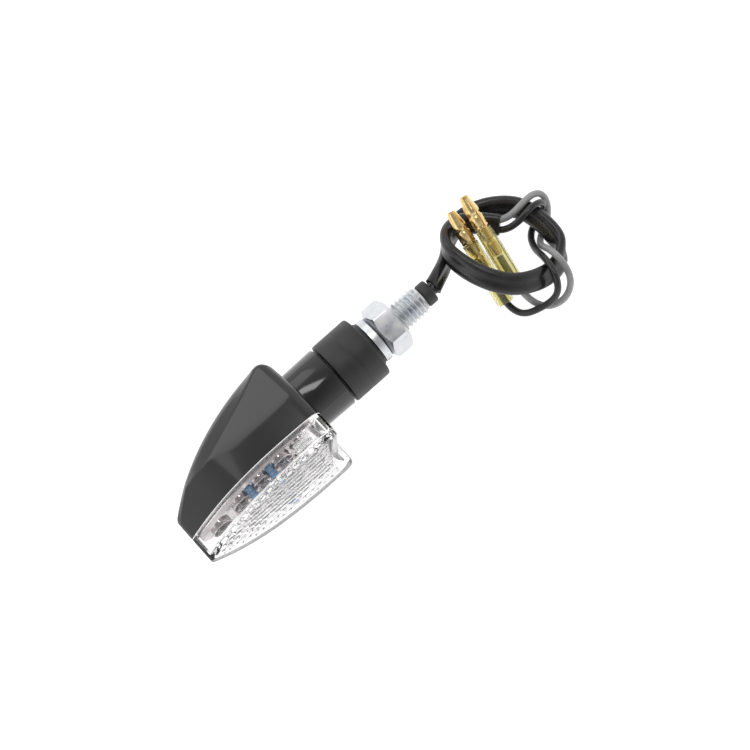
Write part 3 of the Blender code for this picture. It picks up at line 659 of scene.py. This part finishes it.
def makeLead():
    sleeve, path, length = makeSleeve()
    print("sleeve", round(length, 1), "mm")
    for colour, route, material, slot in (
        ("grey", greyRoute, greyVinyl, "grey_vinyl"), ("black", blackRoute, blackVinyl, "black_vinyl"),
    ):
        wire, start, wireLength = makeWire(colour, route, material)
        terminal, cover = makeBullet(colour), makeInsulator(colour)
        print("wire", colour, round(wireLength, 1), "mm")


makeLead()
print("lead made")


# the head's shape, shared by the housing, the lens and the reflector
# t runs from 0 at the base to 1 at the tip
head = {
    "tipX": -64.0,
    "baseX": -21.0,
    "halfHeight": 13.8,
    "tipHalf": 1.0,
    "heightFall": 3,
    "lensDepth": 16.4,
    "lensDrop": 0.8,
    "backDepth": 12.6,
    "backRise": 14.3,
    "backFall": 1.9,
    "backShare": (0.72, 0.1),
    "backRadius": 3.4,
    "frontRadius": 0.8,
    "sideRadius": (1.3, 1.2),
    "facetRadius": 1.1,
    "facetFront": 7.4,
    "facetCorner": (1.5, 11),
    "facetFrontGrowth": 4.0,
    "facetBack": 11.5,
    "facetSpread": (11.5, 1.45),
    "facetEnd": 0.66,
    "facetSlope": 0.23,
    "tipRound": 0.9,
    "shoulder": 3.2,
    "shoulderSide": 0.8,
    "hollow": 2.3,
    "hollowReach": 9.0,
    "hollowCurve": 1.6,
    "parting": 9.3,
    "partingRise": 1.2,
    "partingGap": 0.12,
    "wall": 1.8,
    "lensWall": 1.4,
    "lensFront": 1.8,
    "lensFall": 4,
    "tipSide": 0.3,
    "tipFront": 0.5,
    "facetRoom": 1.2,
    "facetLeast": 0.4,
    "cornerSteps": (5, 5, 4, 8),
    "shoulderStations": (0.0, 0.03, 0.1, 0.2, 0.33, 0.48, 0.65, 0.83, 1.0),
    "tipStations": (0.3, 0.55, 0.75, 0.9, 0.97, 1.0),
    "stationCrowding": 1.25,
    "leastHalf": 0.55,
    "capSizes": (0.93, 0.8, 0.62, 0.42, 0.22, 0.06),
}
headLength = head["baseX"] - head["tipX"]


def shareAt(x):
    return (head["baseX"] - x) / headLength


def halfHeightAt(t):
    return head["tipHalf"] + (head["halfHeight"] - head["tipHalf"]) * max(0.0, 1 - t ** head["heightFall"])


def backDepthAt(t):
    return head["backDepth"] - head["backRise"] * max(0.0, t) ** head["backFall"]


def lensLevelAt(t):
    return head["lensDepth"] - head["lensDrop"] * t ** head["lensFall"]


def rounding(distance, radius):
    # how far a rounded edge has fallen back at this distance from it
    inward = max(0.0, radius - distance)
    return radius - sqrt(radius**2 - inward**2)


def headHalf(x, inset, frontInset, frontPoints=1):
    # (depth, z) from the front's middle round one side to the back's middle
    t = shareAt(x)
    fromBase = head["baseX"] - inset - x
    shoulder = rounding(fromBase, head["shoulder"])
    tipRound = rounding(x - head["tipX"] - inset, head["tipRound"])
    half = halfHeightAt(t) - inset - shoulder * head["shoulderSide"] - head["tipSide"] * tipRound
    front = lensLevelAt(t) - frontInset - rounding(fromBase, head["frontRadius"])
    front -= head["tipFront"] * tipRound
    back = backDepthAt(t) - inset - shoulder - tipRound
    parting = head["parting"] + head["partingRise"] * t
    # the facet runs between two depths that close on each other toward the tip
    near = min(max(t, 0.0) / head["facetEnd"], 1.0)
    spread, spreadFall = head["facetSpread"]
    corner, cornerFall = head["facetCorner"]
    last = min(head["facetBack"] + spread * (1 - near) ** spreadFall, parting + back - head["facetRoom"])
    first = head["facetFront"] + corner * exp(-cornerFall * near) + head["facetFrontGrowth"] * near**2
    first = min(first, last - head["facetLeast"])
    step = head["facetSlope"] * (last - first)
    share, shareGrowth = head["backShare"]
    backHalf = (half - step) * (share + shareGrowth * t)
    outline = [
        (front, 0.0), (front, half), (parting - first, half), (parting - last, half - step),
        (-back, backHalf), (-back, 0.0),
    ]
    sideRadius, sideGrowth = head["sideRadius"]
    backRadius = min(head["backRadius"], 0.9 * backHalf)
    radii = (head["frontRadius"], sideRadius + sideGrowth * t, head["facetRadius"], backRadius)
    points = roundCorners(outline, radii, head["cornerSteps"])
    edge = points[1]
    extra = [Vector((front, edge.y * step / frontPoints)) for step in range(1, frontPoints)]
    return points[:1] + extra + points[1:]


def headStations(inset, count):
    # the places along the axis at which the head gets a ring, closer together at both ends
    tip = 1.0
    nearest = head["tipX"] + inset - 1e-9
    while halfHeightAt(tip) < inset + head["leastHalf"] or head["baseX"] - tip * headLength < nearest:
        tip -= 0.002
    shoulder = [head["baseX"] - inset - share * head["shoulder"] for share in head["shoulderStations"]]
    start = shareAt(shoulder[-1])
    tip -= head["tipRound"] / headLength
    body = []
    for step in range(1, count + 1):
        part = 1 - (1 - step / count) ** head["stationCrowding"]
        body.append(head["baseX"] - headLength * (start + (tip - start) * part))
    end = [body[-1] - head["tipRound"] * share for share in head["tipStations"]]
    return shoulder + body + end


def hollowAt(z, widest):
    # the base end is hollowed round the neck
    return 1 - (abs(z) / widest) ** head["hollowCurve"]


def headRing(x, inset, frontInset, frontPoints=1):
    half = headHalf(x, inset, frontInset, frontPoints)
    widest = max(point.y for point in half)
    hollow = head["hollow"] * max(0.0, 1 - (head["baseX"] - inset - x) / head["hollowReach"])
    both = [(p.x, p.y) for p in half] + [(p.x, -p.y) for p in reversed(half[1:-1])]
    return [Vector((x - hollow * hollowAt(z, widest), -depth, z)) for depth, z in both]


def addHead(bm, inset, frontInset, count, frontPoints=1):
    rings = [headRing(x, inset, frontInset, frontPoints) for x in headStations(inset, count)]
    # each end closes on smaller copies of its last ring
    for atBase in (True, False):
        ring = rings[0] if atBase else rings[-1]
        middleY = 0.5 * (max(p.y for p in ring) + min(p.y for p in ring))
        widest = max(p.z for p in ring)
        base = max(p.x for p in ring)
        caps = []
        for size in head["capSizes"]:
            cap = []
            for p in ring:
                z = p.z * size
                x = base - head["hollow"] * hollowAt(z, widest) if atBase else p.x
                cap.append(Vector((x, middleY + (p.y - middleY) * size, z)))
            caps.append(cap)
        rings = caps[::-1] + rings if atBase else rings + caps
    bridgeRings(bm, [closedRing(bm, [p * mm for p in ring]) for ring in rings])


def partingPlane(offset):
    # a point on the parting plane and its normal, which faces out of the lens
    slope = head["partingRise"] / headLength
    point = Vector((head["baseX"], -(head["parting"] + offset), 0)) * mm
    return point, Vector((-slope, -1, 0)).normalized()


def splitHead(bm, offset, keepFront):
    # keeps the part in front of the parting plane, or the part behind it
    point, normal = partingPlane(offset)
    bmesh.ops.bisect_plane(
        bm, geom=bm.verts[:] + bm.edges[:] + bm.faces[:], plane_co=point, plane_no=normal,
        clear_inner=keepFront, clear_outer=not keepFront,
    )


def joinRims(outer, inner):
    # the inner wall turns to face in, then the two open rims are bridged
    for bm in (outer, inner):
        bmesh.ops.remove_doubles(bm, verts=bm.verts, dist=joinDistance)
        bmesh.ops.recalc_face_normals(bm, faces=bm.faces)
    bmesh.ops.reverse_faces(inner, faces=inner.faces)
    mergeInto(outer, inner)
    rim = [edge for edge in outer.edges if edge.is_boundary]
    bmesh.ops.bridge_loops(outer, edges=rim)
    return outer


housing = {
    "stations": (60, 40),
    "neck": (
        (-23.9, 0), (-11.3, 0), (-11.3, 8.2), (-11.45, 8.48), (-11.8, 8.6), (-20.4, 8.42), (-23.9, 8.4),
    ),
    "bore": (
        (-27.5, 0), (-9.7, 0), (-9.7, 6.5), (-13.7, 6.5), (-13.7, 5.8), (-14.9, 5.8), (-14.9, 6.5),
        (-27.5, 6.5),
    ),
}


def makeHousing():
    outer, inner = bmesh.new(), bmesh.new()
    outerCount, innerCount = housing["stations"]
    for bm, inset, count in ((outer, 0.0, outerCount), (inner, head["wall"], innerCount)):
        addHead(bm, inset, inset, count)
        splitHead(bm, -head["partingGap"], False)
    joined = joinRims(outer, inner)
    shell = finishPiece(
        "housingShell", joined, glossBlack, "head", ["housing"], 40, recalculate=False,
    )
    cutTurned(shell, housing["neck"], 96, "UNION")
    cutTurned(shell, housing["bore"], 96)
    resmooth(shell, 40)


optics = {
    "cellLength": 2.4,
    "cellWidth": 2.1,
    "pillow": 0.34,
    "border": 1.1,
    "tipBorder": 3.0,
    "stations": (60, 150),
    "acrossPoints": 44,
}


def pillowHeight(x, z, inset):
    # brick-laid pillows that stop short of the lens's border
    row = z / optics["cellWidth"] + 0.5
    shift = 0.5 if int(row // 1) % 2 else 0.0
    u = (x / optics["cellLength"] + shift) % 1.0
    v = row % 1.0
    dome = (1 - (2 * u - 1) ** 4) * (1 - (2 * v - 1) ** 2)
    edge = halfHeightAt(shareAt(x)) - inset - abs(z)
    inside = min(edge, (head["baseX"] - inset - head["hollow"]) - x, x - head["tipX"] - optics["tipBorder"])
    return optics["pillow"] * dome * softStep(optics["border"] * 0.5, optics["border"], inside)


def makeLens():
    wall, front = head["lensWall"], head["lensFront"]
    outer, inner = bmesh.new(), bmesh.new()
    addHead(outer, 0.0, 0.0, optics["stations"][0])
    splitHead(outer, head["partingGap"], True)
    addHead(inner, wall, front, optics["stations"][1], optics["acrossPoints"])
    for vert in inner.verts:
        x, depth, z = vert.co.x / mm, -vert.co.y / mm, vert.co.z / mm
        if abs(depth - (lensLevelAt(shareAt(x)) - front)) < 0.02:
            vert.co.y += pillowHeight(x, z, wall) * mm
    splitHead(inner, head["partingGap"], True)
    shell = joinRims(outer, inner)
    finishPiece("lensCap", shell, clear, "head", ["lens"], 40, recalculate=False)


partingHighlight = {"from": -0.11, "to": 0.1, "proud": 0.03, "depth": 0.7, "stations": 60}


def makePartingHighlight():
    # a near-white strip along the parting, shaped like a weld bead between lens and housing: a painted
    # highlight that stands in for the thin bright line of light at the lens's edge
    outer, inner = bmesh.new(), bmesh.new()
    for bm, inset in ((outer, -partingHighlight["proud"]), (inner, partingHighlight["depth"])):
        addHead(bm, inset, 0.0, partingHighlight["stations"])
        splitHead(bm, partingHighlight["from"], True)
        splitHead(bm, partingHighlight["to"], False)
        bmesh.ops.remove_doubles(bm, verts=bm.verts, dist=joinDistance)
        bmesh.ops.recalc_face_normals(bm, faces=bm.faces)
    mergeInto(outer, inner)
    for offset in (partingHighlight["from"], partingHighlight["to"]):
        point, normal = partingPlane(offset)
        openEdges = [edge for edge in outer.edges if edge.is_boundary]
        rim = [e for e in openEdges if all(abs((v.co - point).dot(normal)) < 2e-6 for v in e.verts)]
        bmesh.ops.bridge_loops(outer, edges=rim)
    # the strip carries the painted highlight of the lens's bright edge
    finishPiece("partingHighlight", outer, highlightWhite, "head", (), 40)


makeHousing()
makePartingHighlight()
print("housing made")
makeLens()
print("lens made")


# inside the head: depths from the axis toward the lens, and (distance along the head, height) of each part
outOfLens = (0, -1, 0)
inside = {
    "boardTop": 6.5,
    "ledFirstX": -28.8,
    "ledPitch": 6.6,
    "ledRows": (
        (0, (-7.0, 0.0, 7.0)), (1, (-7.0, 0.0, 7.0)), (2, (-5.9, 0.0, 5.9)), (3, (-4.0, 4.0)), (4.15, (0.0,)),
    ),
    "resistors": ((-45.6, 7.0), (-38.8, 8.4), (-38.8, -8.4)),
}
reflector = {
    "back": 8.2,
    "floor": 1.0,
    "rim": 1.0,
    "wall": 0.9,
    "gap": 2.1,
    "stations": 40,
    "cupTop": 11.2,
    "cupRadius": 2.6,
    "lipRadius": (2.95, 3.05),
    "mouthRadius": (2.75, 3.0),
    "footRadius": 1.9,
    "cutTo": 12.0,
    "resistorHole": 1.4,
}


def ledPlaces():
    for column, heights in inside["ledRows"]:
        for z in heights:
            yield inside["ledFirstX"] - column * inside["ledPitch"], z


def headBlock(name, inset, frontInset, low, high):
    # a slab of the head's shape between two depths
    bm = bmesh.new()
    addHead(bm, inset, frontInset, reflector["stations"])
    for depth, out in ((low, False), (high, True)):
        bmesh.ops.bisect_plane(
            bm, geom=bm.verts[:] + bm.edges[:] + bm.faces[:], plane_co=(0, -depth * mm, 0),
            plane_no=outOfLens, clear_inner=not out, clear_outer=out,
        )
        bmesh.ops.holes_fill(bm, edges=[edge for edge in bm.edges if edge.is_boundary])
    return finishPiece(name, bm, silver, None)


def makeReflector():
    low, end = reflector["back"], reflector["cutTo"]
    floor = low + reflector["floor"]
    tray = headBlock("reflectorTray", reflector["gap"], reflector["gap"], low, floor + reflector["rim"])
    cut(tray, headBlock("bowl", reflector["gap"] + reflector["wall"], 0.0, floor, 30.0))
    # a raised conical cup stands round each LED
    top, cupRadius, foot = reflector["cupTop"], reflector["cupRadius"], reflector["footRadius"]
    lip, rim = reflector["lipRadius"]
    throat, mouth = reflector["mouthRadius"]
    cup = [
        (low + 0.2, 0), (top, 0), (top, lip), (top - 0.2, rim), (floor - 0.2, cupRadius),
        (low + 0.2, cupRadius),
    ]
    bowl = [(low - 1, 0), (end, 0), (end, mouth), (top, throat), (low + 0.6, foot), (low - 1, foot)]
    for x, z in ledPlaces():
        place = placeAlong((x * mm, 0, z * mm), outOfLens)
        cutTurned(tray, cup, 32, "UNION", place, silver)
        cutTurned(tray, bowl, 32, "DIFFERENCE", place, silver)
    radius = reflector["resistorHole"]
    hole = [(low - 1, 0), (end, 0), (end, radius), (low - 1, radius)]
    for x, z in inside["resistors"]:
        cutTurned(tray, hole, 24, "DIFFERENCE", placeAlong((x * mm, 0, z * mm), outOfLens), silver)
    resmooth(tray, 30)
    settle(tray, "head", ["reflector"])


led = {"radius": 1.5, "flangeRadius": 1.75, "flange": 0.9, "height": 5.2, "arcSteps": 8}


def makeLeds():
    foot = inside["boardTop"]
    radius, flange = led["radius"], led["flangeRadius"]
    dome = foot + led["height"] - radius
    quarter = [step * pi / 2 / led["arcSteps"] for step in range(led["arcSteps"])]
    arc = [(dome + radius * sin(angle), radius * cos(angle)) for angle in quarter]
    base = [(foot, 0), (foot, flange), (foot + led["flange"], flange), (foot + led["flange"], radius)]
    # the metal inside: a post with a small cup
    anvil = [
        (foot + 0.6, 0), (foot + 0.6, 0.5), (dome - 0.9, 0.55), (dome - 0.2, 0.75), (dome - 0.5, 0.3),
        (dome - 0.5, 0),
    ]
    metal = bmesh.new()
    for number, (x, z) in enumerate(ledPlaces(), 1):
        place = placeAlong((x * mm, 0, z * mm), outOfLens)
        name = f"led_{number:02d}"
        profile = [*base, *arc, (dome + radius, 0)]
        turnedPiece(f"{name}_epoxy", profile, 32, ledEpoxy, "head", [name], 30, place)
        addTurned(metal, anvil, 12, place)
    finishPiece("ledAnvils", metal, silver, "head", (), 30)


resistor = {
    "stand": 3.0,
    "wireRadius": 0.3,
    "body": (
        (0, 0.7), (0.15, 1.0), (0.5, 1.1), (0.9, 1.1), (1.2, 0.95), (2.6, 0.95), (2.9, 1.1), (3.3, 1.1),
        (3.65, 1.0), (3.8, 0.7), (3.8, 0),
    ),
}


def makeResistors():
    foot = inside["boardTop"]
    start = foot + resistor["stand"]
    profile = [(foot, 0), (foot, resistor["wireRadius"]), (start, resistor["wireRadius"])]
    profile += [(start + at, radius) for at, radius in resistor["body"]]
    for number, (x, z) in enumerate(inside["resistors"], 1):
        name = f"resistor_{number}"
        place = placeAlong((x * mm, 0, z * mm), outOfLens)
        turnedPiece(f"{name}_body", profile, 28, blueLacquer, "head", [name], 30, place)


makeReflector()
makeLeds()
makeResistors()
print("inside made")


# the collar's profile, with the two ends of its bend; the second seat holds the bolt's flange
collar = {
    "bendFrom": -1.0,
    "bendTo": -10.7,
    "profile": (
        (-17.2, 1.9), (-3.7, 1.9), (-3.7, 6.3), (-1.3, 6.3), (-1.3, 4.25), (0.9, 4.25), (0.9, 6.2),
        (0.7, 6.4), (0.0, 6.4), (0.0, 8.3), (-0.15, 8.6), (-0.5, 8.75), (-4.0, 8.75), (-5.2, 8.75),
        (-5.35, 8.68), (-5.5, 8.75), (-7.5, 8.75), (-9.0, 8.75), (-10.3, 8.75), (-10.62, 8.62),
        (-10.7, 8.4), (-10.7, 6.2), (-13.4, 6.2), (-13.4, 5.5), (-15.2, 5.5), (-15.2, 6.2),
        (-16.8, 6.2), (-17.2, 5.8),
    ),
}


def bendWithCollar(obj, node):
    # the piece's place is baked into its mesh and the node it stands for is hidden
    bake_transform(obj)
    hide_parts(node)


def makeCollar():
    made = turnedPiece("rubberCollar", collar["profile"], 96, rubber, None, (), 35)
    bendWithCollar(made, "stalk_collar")


bolt = {
    "crest": 3.95,
    "root": 3.25,
    "pitch": 1.25,
    "ringsPerTurn": 10,
    "bore": 2.4,
    "threadStart": 1.0,
    "end": 18.2,
    "flankSlope": 1.35,
    "rootFlat": 0.15,
    "endRadius": 3.15,
    "endChamfer": 0.8,
    "neck": ((0.9, 3.3), (-1.4, 3.3), (-1.6, 6.0), (-3.4, 6.0)),
}


def makeBolt():
    # the thread is a fine-ringed cylinder whose points move in and out along the helix
    step = bolt["pitch"] / bolt["ringsPerTurn"]
    count = round((bolt["end"] - bolt["threadStart"]) / step)
    rings = [(bolt["end"] - step * number, bolt["crest"]) for number in range(count + 1)]
    start = bolt["neck"][-1][0]
    hollow = [(start, bolt["bore"]), (bolt["end"] - 0.3, bolt["bore"]), (bolt["end"], bolt["bore"] + 0.3)]
    bm = bmesh.new()
    addTurned(bm, [*hollow, *rings, *bolt["neck"]], 72)
    for vert in bm.verts:
        radius = sqrt(vert.co.y**2 + vert.co.z**2) / mm
        at = vert.co.x / mm
        if radius < bolt["crest"] - 0.05 or at < bolt["threadStart"] - 0.01:
            continue
        turned = Vector((vert.co.y, vert.co.z)).angle_signed(Vector((1, 0))) / (2 * pi)
        phase = (at / bolt["pitch"] - turned) % 1.0
        tooth = min(1.0, max(0.0, abs(2 * phase - 1) * bolt["flankSlope"] - bolt["rootFlat"]))
        wanted = bolt["root"] + (bolt["crest"] - bolt["root"]) * tooth
        wanted = min(wanted, bolt["endRadius"] + bolt["endChamfer"] * min(1.0, bolt["end"] - at))
        vert.co.y *= wanted / radius
        vert.co.z *= wanted / radius
    finishPiece("threadedBolt", bm, zinc, "stalk", ["hollow_bolt"], 50)


washer = {
    "gap": 9,
    "turn": 95,
    "steps": 90,
    "section": (
        (1.25, 4.25), (3.1, 4.25), (3.15, 4.35), (3.15, 6.1), (3.05, 6.2), (1.3, 6.2), (1.2, 6.1),
        (1.2, 4.35),
    ),
}


def makeWasher():
    # square spring wire, wound once, its ends a little apart
    bm = bmesh.new()
    rings = []
    for number in range(washer["steps"] + 1):
        angle = (2 * pi - radians(washer["gap"])) * number / washer["steps"]
        out = Vector((0, sin(angle), cos(angle)))
        around = [(Vector((at, 0, 0)) + out * radius) * mm for at, radius in washer["section"]]
        rings.append(closedRing(bm, around))
    bridgeRings(bm, rings)
    bmesh.ops.transform(bm, matrix=Matrix.Rotation(radians(washer["turn"]), 4, "X"), verts=bm.verts)
    finishPiece("springWasher", bm, zinc, "washer", ["lock_washer"], 35)


nut = {
    "start": 3.5,
    "thickness": 6.5,
    "flats": 13.0,
    "edge": 0.3,
    "turn": 20,
    "endRadius": 5.7,
    "faceRadius": 5.85,
    "fall": 1.35,
    "outerRadius": 7.8,
    "bore": 4.2,
    "boreMouth": 4.75,
    "boreChamfer": 0.45,
}


def makeNut():
    start, end = nut["start"], nut["start"] + nut["thickness"]
    bm = bmesh.new()
    bmesh.ops.create_circle(bm, cap_ends=True, segments=6, radius=nut["flats"] / sqrt(3) * mm)
    made = bmesh.ops.extrude_face_region(bm, geom=bm.faces[:])
    raised = [v for v in made["geom"] if isinstance(v, bmesh.types.BMVert)]
    bmesh.ops.translate(bm, verts=raised, vec=(0, 0, nut["thickness"] * mm))
    upright = [e for e in bm.edges if abs((e.verts[0].co - e.verts[1].co).z) > 1 * mm]
    bmesh.ops.bevel(
        bm, geom=upright, offset=nut["edge"] * mm, segments=3, profile=0.5, affect="EDGES", material=-1,
    )
    turn = Matrix.Translation((start * mm, 0, 0)) @ Matrix.Rotation(radians(90), 4, "Y")
    bmesh.ops.transform(bm, matrix=turn, verts=bm.verts)
    # a flat faces up, then leans to the lens side
    bmesh.ops.transform(bm, matrix=Matrix.Rotation(radians(nut["turn"]), 4, "X"), verts=bm.verts)
    hexagon = finishPiece("hexNut", bm, zinc, None, smooth=25)
    # a double cone takes off the corners at both ends
    low, high = start + nut["fall"], end - nut["fall"]
    cone = [
        (start, 0), (start, nut["endRadius"]), (start + 0.1, nut["faceRadius"]),
        (low, nut["outerRadius"]), (high, nut["outerRadius"]), (end - 0.1, nut["faceRadius"]),
        (end, nut["endRadius"]), (end, 0),
    ]
    cutTurned(hexagon, cone, 120, "INTERSECT")
    low, high = start + nut["boreChamfer"], end - nut["boreChamfer"]
    bore = [
        (start - 0.1, 0), (end + 0.1, 0), (end + 0.1, nut["boreMouth"]), (high, nut["bore"]),
        (low, nut["bore"]), (start - 0.1, nut["boreMouth"]),
    ]
    cutTurned(hexagon, bore, 72)
    resmooth(hexagon, 25)
    settle(hexagon, "nut", ["hex_nut"])


grommet = {
    "profile": (
        (15.5, 1.65), (21.2, 1.65), (21.2, 2.9), (21.05, 3.12), (20.8, 3.2), (19.0, 3.2), (18.7, 3.15),
        (18.5, 3.0), (18.5, 2.1), (15.5, 2.1),
    ),
}


def makeGrommet():
    turnedPiece("leadGrommet", grommet["profile"], 48, rubber, "stalk", ["end_grommet"], 35)


makeCollar()
makeBolt()
makeWasher()
makeNut()
makeGrommet()
print("stalk made")


cores = {
    "radius": 0.6,
    "apart": 0.75,
    "sides": 14,
    "spacing": 1.0,
    "route": ((-27.5, -4.1), (-25.5, -3.7), (-22.5, -1.6), (-19.0, 0), (0, 0), (21.2, 0)),
}


def makeCores():
    # the two cores run from inside the head through the collar and the bolt to the grommet
    over = Vector((0, 0, 1))
    for colour, side, material in (("black", -1, blackVinyl), ("grey", 1, greyVinyl)):
        route = [(x, y, side * cores["apart"]) for x, y in cores["route"]]
        path, length = smoothLine(route, cores["spacing"])
        bm = bmesh.new()
        rings = []
        for number, point in enumerate(path):
            tangent = (path[min(number + 1, len(path) - 1)] - path[max(number - 1, 0)]).normalized()
            aside = over.cross(tangent)
            around = []
            for step in range(cores["sides"]):
                angle = 2 * pi * step / cores["sides"]
                around.append((point + (over * cos(angle) + aside * sin(angle)) * cores["radius"]) * mm)
            rings.append(closedRing(bm, around))
        bridgeRings(bm, rings)
        core = finishPiece(f"core_{colour}_visible", bm, material, None)
        bendWithCollar(core, f"core_{colour}")
        print("core", colour, round(length, 1), "mm")


makeCores()


def dressNodes():
    # these CAD pieces keep their own mesh and only get a finish
    dress = {
        "circuit_board": boardFinish,
        "board_screw_1": zinc,
        "board_screw_2": zinc,
        "diode": blackMoulding,
    }
    for node, material in dress.items():
        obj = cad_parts[node]
        obj.data.materials.clear()
        obj.data.materials.append(material)


dressNodes()


# each lamp: name, place in metres, size in metres and power in watts
studio = {
    "floorZ": -14.15,
    "floorSize": 3.0,
    "floorTone": 0.45,
    "floorGlow": 0.9,
    "floorRough": (0.88, 0.92),
    "floorGrain": 40.0,
    "room": 1.0,
    "darkRoom": 0.36,
    "darkFrom": 0.45,
    "darkTo": 0.93,
    "lamps": (
        ("backPanel", (-0.2, 0.66, 0.66), (0.9, 0.58), 1.45),
        ("tipPanel", (-0.85, -0.1, 0.5), (0.45, 0.45), 0.6),
        ("overhead", (0.094, 0.05, 0.9), (0.5, 0.15), 1.2),
    ),
}


def makeStudio():
    bm = bmesh.new()
    bmesh.ops.create_grid(bm, x_segments=1, y_segments=1, size=studio["floorSize"])
    bmesh.ops.translate(bm, verts=bm.verts, vec=(0, 0, studio["floorZ"] * mm))
    tone = studio["floorTone"]
    glow = studio["floorGlow"]
    paper, tree, shader = newMaterial("floorPaper", (tone, tone, tone), 0.9, Emission_Strength=glow)
    shader.inputs["Emission Color"].default_value = (1, 1, 1, 1)
    grain = noiseNode(tree, studio["floorGrain"])
    shade = rangeNode(tree, grain.outputs["Fac"], 0.0, 1.0, *studio["floorRough"])
    tree.links.new(shade.outputs["Result"], shader.inputs["Roughness"])
    mesh = bpy.data.meshes.new("floor")
    bm.to_mesh(mesh)
    bm.free()
    mesh.materials.append(paper)
    floor = link(bpy.data.objects.new("floor", mesh))
    bpy.context.scene.view_settings.view_transform = "Standard"
    # a white room with one darker wall, which the polished pieces reflect
    world = bpy.data.worlds.new("studio")
    world.use_nodes = True
    tree = world.node_tree
    coordinates = tree.nodes.new("ShaderNodeTexCoord")
    facing = tree.nodes.new("ShaderNodeVectorMath")
    facing.operation = "DOT_PRODUCT"
    facing.inputs[1].default_value = viewBack
    tree.links.new(coordinates.outputs["Generated"], facing.inputs[0])
    edges = (studio["darkFrom"], studio["darkTo"])
    room = rangeNode(tree, facing.outputs["Value"], *edges, studio["room"], studio["darkRoom"])
    background = tree.nodes["Background"]
    background.inputs["Color"].default_value = (1, 1, 1, 1)
    tree.links.new(room.outputs["Result"], background.inputs["Strength"])
    bpy.context.scene.world = world
    for name, place, size, power in studio["lamps"]:
        data = bpy.data.lights.new(name, "AREA")
        data.shape = "RECTANGLE"
        data.size, data.size_y = size
        data.energy = power
        lamp = link(bpy.data.objects.new(name, data))
        lamp.location = place
        lamp.rotation_mode = "QUATERNION"
        lamp.rotation_quaternion = Vector(place).to_track_quat("Z", "Y")


makeStudio()
print("studio made")
